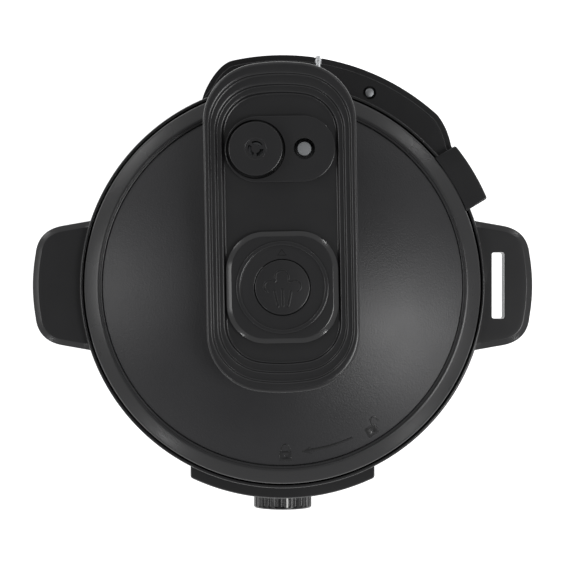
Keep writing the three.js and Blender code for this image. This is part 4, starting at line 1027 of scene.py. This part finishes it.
# ------------------------------------------------------------------ housing
def make_housing():
    shell_low, shell_high = low("housing_shell")[2], high("housing_shell")[2]
    wall = lathe("steel_jacket", [
        (SHELL_RADIUS - 1, shell_low), (SHELL_RADIUS, shell_low), (SHELL_RADIUS, shell_high),
        (SHELL_RADIUS - 1, shell_high),
    ])
    settle(wall, brushed_stainless, "base", "stainless_steel", "housing_shell")

    ring_low = low("top_ring")[2]
    channel = RIM_TOP - 14.0
    inner = RIM_RADIUS - 2.2
    well = half_width("lock_ring") + 0.3
    ring = lathe("rim_band", [
        (RIM_RADIUS, ring_low, 0.8), (RIM_RADIUS, RIM_TOP, 1.6), (inner, RIM_TOP, 0.5), (inner, channel, 1.0),
        (well, channel, 0.4), (well, channel - 4.0), (SHELL_RADIUS + 0.3, channel - 4.0),
        (SHELL_RADIUS + 0.3, ring_low, 0.4),
    ])
    settle(ring, glossed_polypropylene, "base", "matte_black_plastic", "top_ring")

    lock_low, lock_high = low("lock_ring")[2], high("lock_ring")[2]
    outer = half_width("lock_ring")
    bore = half_width("inner_liner") - 1.2
    lock = lathe("bayonet_ring", [
        (bore, lock_low, 0.4), (outer, lock_low, 1.2), (outer, lock_high, 0.5), (outer - 2, lock_high, 0.5),
        (outer - 2, lock_low + 2, 1.0), (bore, lock_low + 2, 0.4),
    ])
    lug_top = lock_high - 1.3
    carve(lock, bayonet_lugs(outer - 1, 119.5, lug_top - 2.5, lug_top), operation="UNION")
    settle(lock, spun_stainless, "base", "stainless_steel", "lock_ring")

    liner_low, liner_high = low("inner_liner")[2], high("inner_liner")[2]
    radius = half_width("inner_liner")
    liner = lathe("heat_liner", [
        (0, liner_low), (radius, liner_low, 2.0), (radius, liner_high, 0.3), (radius - 1.2, liner_high, 0.3),
        (radius - 1.2, liner_low + 1.2, 2.0), (0, liner_low + 1.2),
    ])
    settle(liner, raw_aluminium, "base", "cast_aluminium", "inner_liner")

    heater_low, heater_high = low("heating_plate")[2], high("heating_plate")[2]
    radius = half_width("heating_plate")
    well = 17.4
    heater = lathe("cast_heater", [
        (well, heater_low, 0.6), (radius - 6, heater_low, 1.0), (radius, heater_low + 8, 1.5),
        (radius, heater_high, 2.0), (well, heater_high, 0.8),
    ])
    settle(heater, raw_aluminium, "base", "cast_aluminium", "heating_plate")
    sensor_low, sensor_high = low("temperature_sensor")[2], high("temperature_sensor")[2]
    sensor = lathe("sensor_cup", [
        (0, sensor_high - 2), (14.5, sensor_high - 2, 0.6), (14.5, sensor_low), (16.5, sensor_low, 0.3),
        (16.5, sensor_high, 1.0), (0, sensor_high),
    ], sides=SMALL)
    settle(sensor, spun_stainless, "sensor", "spun_steel", "temperature_sensor")

    pot_low, pot_high = low("inner_pot")[2], high("inner_pot")[2]
    radius, wall = 111.5, 1.2
    lip = half_width("inner_pot")
    pot = lathe("steel_pot", [
        (0, pot_low), (radius - 12, pot_low, 2), (radius, pot_low + 12, 9), (radius, pot_high - 2, 1.2),
        (lip, pot_high - 2, 0.9), (lip, pot_high, 0.9), (radius - wall, pot_high, 1.4),
        (radius - wall, pot_low + 12, 9), (radius - 12.6, pot_low + 2 * wall, 2), (0, pot_low + 2 * wall),
    ])
    settle(pot, spun_stainless, "pot", "spun_steel", "inner_pot")


def make_base():
    bottom, top = low("base_plate")[2], high("base_plate")[2]
    radius = half_width("base_plate")
    wall = 2.5
    plate = lathe("base_tray", [
        (0, bottom), (radius - 7, bottom, 2.5), (radius, bottom + 7, 2.5), (radius, top - 0.2, 0.5),
        (radius - wall, top), (radius - wall, bottom + 8, 1), (radius - 8, bottom + 3, 1), (0, bottom + 3),
    ])
    inlet_low, inlet_high = low("power_inlet"), high("power_inlet")
    cutters = [block("inlet", (inlet_low[0] - 0.3, inlet_high[0] + 0.3), (radius - 14, radius + 5),
                     (inlet_low[2] - 0.3, inlet_high[2] + 0.3), edge=0.4)]
    vent = block("vent", (-29, -25), (-20, 20), (bottom - 1, bottom + 4), edge=1.9)
    cutters.append(repeat(vent, 7, (9, 0, 0)))
    for node in ("base_screw_1", "base_screw_2", "base_screw_3"):
        cutters.append(drill(1.9, bottom - 1, bottom + 4, middle(node)[:2], 24))
    carve(plate, *cutters)
    settle(plate, etched_polypropylene, "base", "matte_black_plastic", "base_plate")

    for where in ("front_left", "front_right", "rear_left", "rear_right"):
        node = "foot_" + where
        foot_high = high(node)[2]
        foot = lathe("pad_" + where, [
            (0, 0), (5.5, 0, 0.4), (6.2, 0.9, 0.4), (7.0, 0, 0.4), (9.4, 0, 0.5), (11.0, 1.6, 0.8),
            (11.0, foot_high, 0.3), (0, foot_high),
        ], middle(node)[:2], SMALL)
        settle(foot, moulded_rubber, "base", "rubber", node)

    x = (inlet_low[0], inlet_high[0])
    y = (inlet_low[1], inlet_high[1])
    z = (inlet_low[2], inlet_high[2])
    inlet = block("mains_inlet", x, y, z, edge=1.0)
    socket = shell("socket", rounded_box(12, 7, 3, 8), [(0, -30, 0), (0, 30, 0)])
    move(socket, shift(0, y[1] + 14, sum(z) / 2) @ FORWARD)
    carve(inlet, socket)
    settle(inlet, filled_nylon, "base", "inner_plastic", "power_inlet")
    blade = block("blade", (-8, -6), (y[1] - 17, y[1] - 3), (sum(z) / 2 - 4.5, sum(z) / 2 + 0.5), edge=0.3)
    contacts = repeat(blade, 3, (7, 0, 0))
    contacts.name = "inlet_blades"
    settle(contacts, turned_stainless, "base", "stainless_steel")


# ------------------------------------------------------------------ handles and collar
HANDLE_HALF = 43.3
HANDLE_REACH = high("right_handle")[0] - RIM_RADIUS


def handle_outline():
    root = RIM_RADIUS - 0.6
    turn = math.degrees(math.asin(HANDLE_HALF / root))
    shoulder = (RIM_RADIUS + 12.1, HANDLE_HALF - 3.5)
    outer = (RIM_RADIUS + HANDLE_REACH - 1.8, HANDLE_HALF / 2 - 0.8)
    points = arc((0, 0), root, turn, -turn, 24)
    start = points[-1]
    points += [(start[0] + (shoulder[0] - start[0]) * k / 6, start[1] + (-shoulder[1] - start[1]) * k / 6)
               for k in range(1, 6)]
    points += bend((shoulder[0], -shoulder[1]), (outer[0] - 1.5, -shoulder[1] + 3), (outer[0], -outer[1]), 16)
    points += bend((outer[0], -outer[1]), (outer[0] + 3.6, 0), (outer[0], outer[1]), 16)
    points += bend((outer[0], outer[1]), (outer[0] - 1.5, shoulder[1] - 3), (shoulder[0], shoulder[1]), 16)
    end = points[0]
    points += [(shoulder[0] + (end[0] - shoulder[0]) * k / 6, shoulder[1] + (end[1] - shoulder[1]) * k / 6)
               for k in range(1, 6)]
    return without_repeats(points), root


def make_handle(name, node, turn, slotted):
    outline, root = handle_outline()
    weights = [0.0 if math.hypot(*p) < root + 0.01 else 1.0 for p in outline]
    top, bottom = HANDLE_TOP, HANDLE_BOTTOM
    handle = shell(name, outline, [
        (3.0, bottom + 2.0, 0), (0, bottom, 0.8), (0, top - 1.7, 0.6), (4.0, top, 0.3), (7.0, top, 0),
    ], weights)
    hollow = shell("hollow", inset(outline, 3.0),
                   [(0, bottom - 2, 0), (0, top - 3.5, 1.5), (2, top - 3.5, 0)])
    carve(handle, hollow)
    if slotted:
        x0, x1 = RIM_RADIUS + 4.7, RIM_RADIUS + 4.7 + 8.5
        half = 22.05
        centre = ((x0 + x1) / 2, 0)
        chute = shell("chute", rounded_box((x1 - x0) / 2 + 2, half + 2, 3, 8, centre),
                      [(0, bottom + 4, 0), (0, top - 0.8, 0)])
        carve(handle, chute, operation="UNION")
        slot = shell("slot", rounded_box((x1 - x0) / 2, half, 1.6, 8, centre), [
            (0, bottom - 2, 0), (0, top - 0.35, 0), (-0.4, top + 0.05, 0), (-0.4, top + 2, 0),
        ])
        carve(handle, slot)
    move(handle, Matrix.Rotation(turn, 4, "Z"))
    settle(handle, etched_polypropylene, "base", "matte_black_plastic", node)


def polar(radius, degrees):
    return (radius * math.cos(math.radians(degrees)), radius * math.sin(math.radians(degrees)))


def make_collar():
    inner, outer = RIM_RADIUS - 0.6, RIM_RADIUS + 18.9
    nose = RIM_RADIUS + 11.1
    right_end, left_end = 36.5, 115  # degrees from +X where the shelf meets the rim
    right_corner, left_corner = 47.9, 102.6  # ends of its outer arc
    points = bend(polar(inner, right_end), polar((inner + nose - 5) / 2, right_end),
                  polar(nose - 5, right_end), 4)
    points += bend(polar(nose - 5, right_end), polar(nose - 0.3, 36.9), polar(nose, 39.5), 8)
    points += bend(polar(nose, 39.5), polar(outer - 1, 44.0), polar(outer, right_corner), 12)
    points += arc((0, 0), outer, right_corner, left_corner, 60)
    curve = (
        polar(outer, left_corner), polar(outer + 0.2, 106), polar(outer - 10.7, 111),
        polar(inner + 0.9, 113.4),
    )
    for k in range(1, 25):
        t = k / 24
        shares = ((1 - t) ** 3, 3 * t * (1 - t) ** 2, 3 * t * t * (1 - t), t ** 3)
        points.append(tuple(sum(w * p[i] for w, p in zip(shares, curve)) for i in (0, 1)))
    points += arc((0, 0), inner, left_end, right_end, 70)
    outline = without_repeats(points)
    reaches = [math.hypot(*p) for p in outline]
    weights = [0.0 if r < inner + 0.05 else min(1.0, (r - inner) / 8) for r in reaches]
    top, bottom = COLLAR_TOP, COLLAR_BOTTOM
    ledge = top - 2.6
    collar = shell("rear_shelf", outline, [
        (2.0, bottom + 1.0, 0), (0, bottom, 0.8), (0, ledge, 0.5), (3.6, ledge - 0.2, 0.3),
        (3.9, top, 0.35), (6.0, top, 0),
    ], weights)
    cavity_start, cavity_end = right_corner + 2, left_corner - 2
    cavity = arc((0, 0), inner + 3.9, cavity_start, cavity_end, 40)
    cavity += arc((0, 0), outer - 3, cavity_end, cavity_start, 40)
    hollow = shell("hollow", cavity, [(0, bottom - 2, 0), (0, top - 3, 0)])
    px, py = middle("lid_sensor_pin")[:2]
    pocket = drill(5.1, bottom - 2, top - 3, (px, py), SMALL)
    hole = lathe("hole", [
        (0, bottom), (4.2, bottom), (4.2, top - 0.35), (4.5, top + 0.02), (4.5, top + 2), (0, top + 2),
    ], (px, py), SMALL)
    stop_low, stop_high = low("rear_stop_pin"), high("rear_stop_pin")
    notch = block("notch", (stop_low[0] - 0.3, stop_high[0] + 0.3), (stop_low[1] - 0.3, stop_high[1] + 6),
                  (stop_low[2] - 0.3, top + 1), edge=0.25)
    carve(collar, hollow, pocket, hole, notch)
    settle(collar, glossed_polypropylene, "base", "matte_black_plastic", "rear_collar")

    end = stop_high[1]
    pin = lathe("steel_stop", [
        (0, end - 8.4), (2.4, end - 8.4, 0.3), (2.4, end - 2.6, 0.25), (1.6, end - 2.2, 0.2),
        (1.6, end, 0.35), (0, end),
    ], sides=32, sharp=30)
    stop = middle("rear_stop_pin")
    move(pin, shift(stop[0], 0, stop[2]) @ Matrix.Rotation(math.radians(-90), 4, "X"))
    settle(pin, ground_stainless, "base", "stainless_steel", "rear_stop_pin")

    pin_low, pin_high = low("lid_sensor_pin")[2], high("lid_sensor_pin")[2]
    flange = top - 3.3
    plunger = lathe("sprung_plunger", [
        (0, pin_low), (2.6, pin_low, 0.3), (2.6, flange - 1.4), (2.9, flange - 1.4),
        (2.9, pin_high - 0.6, 0.4),
        (0, pin_high),
    ], (px, py), SMALL, sharp=40)
    settle(plunger, blasted_stainless, "plunger", "stainless_steel", "lid_sensor_pin")
    catch = lathe("plunger_catch", [
        (2.9, flange - 1.4), (4.8, flange - 1.4, 0.3), (4.8, flange, 0.3), (2.9, flange),
    ], (px, py), SMALL)
    settle(catch, moulded_rubber, "plunger", "matte_black_plastic")


# ------------------------------------------------------------------ front panel and dial
def make_front():
    bottom, top = low("front_fascia")[2], high("front_fascia")[2]
    radius = -low("front_fascia")[1]
    inner = SHELL_RADIUS + 0.3
    half, flare, corner = 25.6, 2.0, 0.7
    shoulder = half + flare * 1.5 / (radius - inner)
    points = arc((0, 0), radius, -90 - half + corner, -90 + half - corner, 60)
    points += bend(polar(radius, -90 + half - corner), polar(radius, -90 + half),
                   polar(radius - 1.5, -90 + shoulder), 6)[1:]
    points += arc((0, 0), inner, -90 + half + flare, -90 - half - flare, 60)
    points += bend(polar(radius - 1.5, -90 - shoulder), polar(radius, -90 - half),
                   polar(radius, -90 - half + corner), 6)
    outline = without_repeats(points)
    weights = [0.0 if math.hypot(*p) < inner + 0.05 else 1.0 for p in outline]
    panel = shell("front_panel", outline, [
        (2.0, bottom, 0), (0, bottom + 2.0, 1.2), (0, top - 0.8, 0.4), (0.8, top, 0),
    ], weights)
    room_bottom = RIM_TOP - 42.3  # above this the panel is cut back to clear the rim
    room = drill(RIM_RADIUS + 0.15, room_bottom, top + 4)
    window_low, window_high = low("display_window")[2], high("display_window")[2]
    opening = arc((0, 0), radius + 4, -106.2, -73.8, 40) + arc((0, 0), radius - 2.4, -73.8, -106.2, 40)
    hole = shell("opening", opening, [(0, window_low - 0.3, 0), (0, window_high + 0.3, 0)])
    carve(panel, room, hole)
    dial = middle("dial_knob")
    shaft = drill(3.7, -20, 20, sides=32)
    move(shaft, shift(0, -radius, dial[2]) @ FORWARD)
    carve(panel, shaft)
    settle(panel, etched_polypropylene, "base", "gloss_black_plastic", "front_fascia")

    pane = arc((0, 0), radius - 0.25, -106.0, -74.0, 48) + arc((0, 0), radius - 2.2, -74.0, -106.0, 48)
    window = shell("display_pane", without_repeats(pane), [
        (0, window_low, 0), (0, window_high, 0),
    ])
    settle(window, smoked_acrylic, "base", "smoked_panel", "display_window")
    make_panel_marks(radius, dial[2], (window_low + window_high) / 2)


def wrap(points, radius, lift):
    """Points (along the front, height) laid on the curved front, standing proud of it by the lift."""
    out = []
    for s, z in points:
        angle = -math.pi / 2 + s / radius
        out.append(((radius + lift) * math.cos(angle), (radius + lift) * math.sin(angle), z))
    return out


def front_strokes(name, strokes, width, radius, lift):
    """Straight printed lines on the curved front, each a thin raised ribbon between two ends."""
    vertices, faces = [], []
    for start, end in strokes:
        first = len(vertices)
        along = Vector((end[0] - start[0], end[1] - start[1])).normalized()
        across = Vector((-along.y, along.x)) * width / 2
        for x, y in (start, end):
            left, right = (x + across.x, y + across.y), (x - across.x, y - across.y)
            vertices += wrap([left, right], radius, lift) + wrap([right, left], radius, -0.3)
        for k in range(4):
            n = (k + 1) % 4
            faces.append((first + k, first + n, first + 4 + n, first + 4 + k))
        faces.append(tuple(range(first, first + 4)))
        faces.append(tuple(range(first + 4, first + 8)))
    return as_piece(name, vertices, faces)


def make_panel_marks(radius, dial_z, window_z):
    ticks = []
    for k in range(25):
        turn = math.radians(225 - 270 * k / 24)
        far = 26.5 if k % 4 else 28.0
        ticks.append([(r * math.cos(turn), dial_z + r * math.sin(turn)) for r in (24.5, far)])
    marks = front_strokes("dial_scale", ticks, 0.5, radius, 0.04)
    settle(marks, grey_ink, "base", "satin_black_plastic")
    strokes = [[(-3.6, window_z + y), (3.6, window_z + y)] for y in (-9, 0, 9)]
    for x in (-4.6, 4.6):
        for z in (window_z - 8.2, window_z + 0.8):
            strokes.append([(x, z), (x, z + 7.4)])
    apart = math.degrees(13.0 / radius)
    digits = repeat(front_strokes("display_segments", strokes, 1.1, radius - 0.25, 0.03), 4,
                    first=-1.5 * apart, turn=apart, material=filled_nylon)
    settle(digits, filled_nylon, "base", "smoked_panel")


def make_dial():
    lo, hi = low("dial_knob"), high("dial_knob")
    z = (lo[2] + hi[2]) / 2
    back, face = -hi[1], -lo[1]
    radius = half_width("dial_knob")
    flutes = 28
    knob = lathe("fluted_dial", [
        (0, back), (radius, back, 0.4), (radius, face - 1.0, 0.4), (radius - 0.9, face - 0.3, 0.3),
        (radius - 2.4, face - 0.3, 0.3), (radius - 3.0, face, 0.3), (0, face),
    ], sides=196)
    flute = lathe("flute", [(0, back - 1), (2.6, back - 1), (2.6, face - 1.8, 0.8), (0, face - 1.2)],
                  (radius + 1.85, 0), 40)
    grooves = repeat(flute, flutes, turn=360 / flutes)
    cup = lathe("cup",
                [(6.2, back - 1), (radius - 3.6, back - 1), (radius - 3.6, face - 4, 1), (6.2, face - 4)],
                sides=SMALL)
    bore = drill(3.3, back - 1, face - 5.7, sides=32)
    dish = lathe("dish", [(0, face - 0.9), (radius - 6.5, face - 0.35, 2.0), (radius - 5.2, face + 0.3),
                          (radius - 5.2, face + 2), (0, face + 2)], sides=96)
    carve(knob, cup, bore, dish, grooves)
    to_front = shift(0, 0, z) @ FORWARD
    move(knob, to_front)
    settle(knob, glossed_polypropylene, "dial", "matte_black_plastic", "dial_knob")
    line = block("line", (-0.65, 0.65), (radius - 0.9, radius + 0.03), (back + 1.4, face - 1.7), edge=0.2)
    line_face = block("line", (-0.65, 0.65), (radius - 4.9, radius - 1.4), (face - 1.2, face - 0.26),
                      edge=0.2)
    mark = merge("dial_pointer", [line, line_face])
    move(mark, to_front @ Matrix.Rotation(math.radians(-9), 4, "Z"))
    settle(mark, white_ink, "dial", "matte_black_plastic")


# ------------------------------------------------------------------ condensation cup
def make_cup():
    lo, hi = low("condensation_cup"), high("condensation_cup")
    half, wall = 30.0, 2.0
    bottom, top, face = lo[2], hi[2], hi[1]
    back = SHELL_RADIUS + 0.5

    def outline(side, far, near):
        points = []
        x = side - 8
        points += arc((x, far - 8), 8, 0, 90, 12)
        points += arc((-x, far - 8), 8, 90, 180, 12)
        turn = math.degrees(math.asin(side / near))
        points += arc((0, 0), near, 90 + turn, 90 - turn, 30)
        return without_repeats(points)

    body = shell("drip_cup", outline(half, face, back), [
        (1.6, bottom, 0), (0, bottom + 1.6, 0.8), (0, top - 0.3, 0), (0.3, top, 0), (1.0, top, 0),
    ])
    room = shell("room", outline(half - wall, face - wall, back + wall), [
        (1.0, bottom + wall, 0), (0, bottom + wall + 1.0, 0.8), (0, top + 2, 0),
    ])
    near = math.sqrt(back ** 2 - 33 ** 2)
    flange_cut = drill(back, top - 8, top + 8)
    flange = block("flange", (-half - 2.2, half + 2.2), (near - 1, face - 8), (top - 2, top), edge=0.5)
    carve(flange, flange_cut)
    carve(body, flange, operation="UNION")
    carve(body, room)
    settle(body, honed_abs, "cup", "satin_black_plastic", "condensation_cup")


# ------------------------------------------------------------------ springs
def make_springs():
    """Each spring is a coil that takes the place of its frame node; the bodies listed beside it are not used.
    """
    wire = 0.5
    for node, name, below, above, turns in (
        ("button_spring", "button_coil", "lid", "button", 5),
        ("sensor_spring", "sensor_coil", "base", "sensor", 5),
        ("pin_spring", "plunger_coil", "base", "plunger", 4),
    ):
        lowest, highest, centre = low(node), high(node), middle(node)
        spring = coil(name, half_width(node) - wire, wire, lowest[2], highest[2], turns, spring_wire)
        move(spring, shift(centre[0], centre[1], 0))
        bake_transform(spring)
        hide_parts(node)


# ------------------------------------------------------------------ pieces that keep the frame's own shape
def finish_frame_nodes():
    kept = {
        turned_stainless: ("pipe_nut", "lid_screw_1", "lid_screw_2", "lid_screw_3", "base_screw_1",
                           "base_screw_2",
                           "base_screw_3", "chassis_post_1", "chassis_post_2", "chassis_post_3", "lever_pin"),
        filled_nylon: ("release_lever", "lid_switch", "dial_encoder"),
        solder_mask: ("power_board", "control_board"),
        etched_polypropylene: ("cup_bracket",),
    }
    for material, names in kept.items():
        for name in names:
            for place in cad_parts[name].material_slots:
                place.material = material


# ------------------------------------------------------------------ camera, light and floor
CAMERA_HEIGHT = 1.874
VIEW_WIDTH = 0.37686  # across the picture at the height of the lid's ring
RING_PLANE = 0.274
CAMERA_SIDE = 0.00198  # how far the camera stands to the right of the pot's axis
SENSOR_MM = 36.0
LIGHT_DISTANCE = 2.2


def make_camera():
    data = bpy.data.cameras.new("camera")
    data.sensor_width = SENSOR_MM
    data.lens = SENSOR_MM * (CAMERA_HEIGHT - RING_PLANE) / VIEW_WIDTH
    data.clip_end = 50.0
    camera = bpy.data.objects.new("camera", data)
    camera.location = (CAMERA_SIDE, 0.0, CAMERA_HEIGHT)
    bpy.context.collection.objects.link(camera)
    bpy.context.scene.camera = camera


def softbox(name, target, azimuth, tilt, size, power):
    """A square soft light aimed at the target, tilted so many degrees from straight above it."""
    data = bpy.data.lights.new(name, "AREA")
    data.size = size
    data.energy = power
    flat = Vector((math.cos(math.radians(azimuth)), math.sin(math.radians(azimuth)), 0))
    way = flat * math.sin(math.radians(tilt)) + Vector((0, 0, 1)) * math.cos(math.radians(tilt))
    light = bpy.data.objects.new(name, data)
    light.location = Vector(target) + way * LIGHT_DISTANCE
    light.rotation_euler = (-way).to_track_quat("-Z", "Y").to_euler()
    bpy.context.collection.objects.link(light)


def make_studio():
    floor_material, tree, shader, place = new_material("studio_paper")
    shader.inputs["Base Color"].default_value = colour("#f4f4f4")
    shader.inputs["Emission Color"].default_value = colour("#ffffff")
    shader.inputs["Emission Strength"].default_value = 0.7
    fibres = add(tree, "ShaderNodeTexNoise", {"Scale": 300.0, "Detail": 2.0}, {"Vector": place})
    tooth = add(tree, "ShaderNodeMapRange", {"To Min": 0.85, "To Max": 0.95},
                {"Value": fibres.outputs["Fac"]})
    tree.links.new(tooth.outputs[0], shader.inputs["Roughness"])
    reach = 6000  # half of the floor's width
    corners = [(-reach, -reach, 0), (reach, -reach, 0), (reach, reach, 0), (-reach, reach, 0)]
    floor = as_piece("floor", corners, [(0, 1, 2, 3)])
    floor.data.materials.append(floor_material)
    world = bpy.data.worlds.new("studio")
    world.use_nodes = True
    tree = world.node_tree
    tree.nodes.clear()
    way = add(tree, "ShaderNodeTexCoord").outputs["Generated"]
    up = add(tree, "ShaderNodeSeparateXYZ", {}, {0: way})
    walls = add(tree, "ShaderNodeMapRange", {  # pale walls, dark ceiling
        "From Min": 0.68, "From Max": 0.84, "To Min": 0.82, "To Max": 0.2,
    }, {"Value": up.outputs["Z"]})
    background = add(tree, "ShaderNodeBackground", {}, {"Strength": walls.outputs[0]})
    add(tree, "ShaderNodeOutputWorld", {}, {0: background.outputs[0]})
    bpy.context.scene.world = world
    lid = (0, 0, 0.27)
    softbox("left_softbox", lid, 180, 42, 0.7, 5.5)
    softbox("right_softbox", lid, -22, 31, 0.8, 16)
    softbox("rear_strip", lid, 138, 62, 0.5, 3)
    for azimuth in (48, 232, 312):
        softbox("glint_%d" % azimuth, lid, azimuth, 56, 0.12, 1.3)
    bpy.context.scene.view_settings.view_transform = "Standard"


make_camera()
make_studio()
make_cover()
make_island()
make_tab()
make_valves()
make_release()
make_lock_marks()
make_lid_inside()
make_housing()
make_base()
make_handle("grip_right", "right_handle", 0.0, True)
make_handle("grip_left", "left_handle", math.pi, False)
make_collar()
make_front()
make_dial()
make_cup()
make_springs()
finish_frame_nodes()
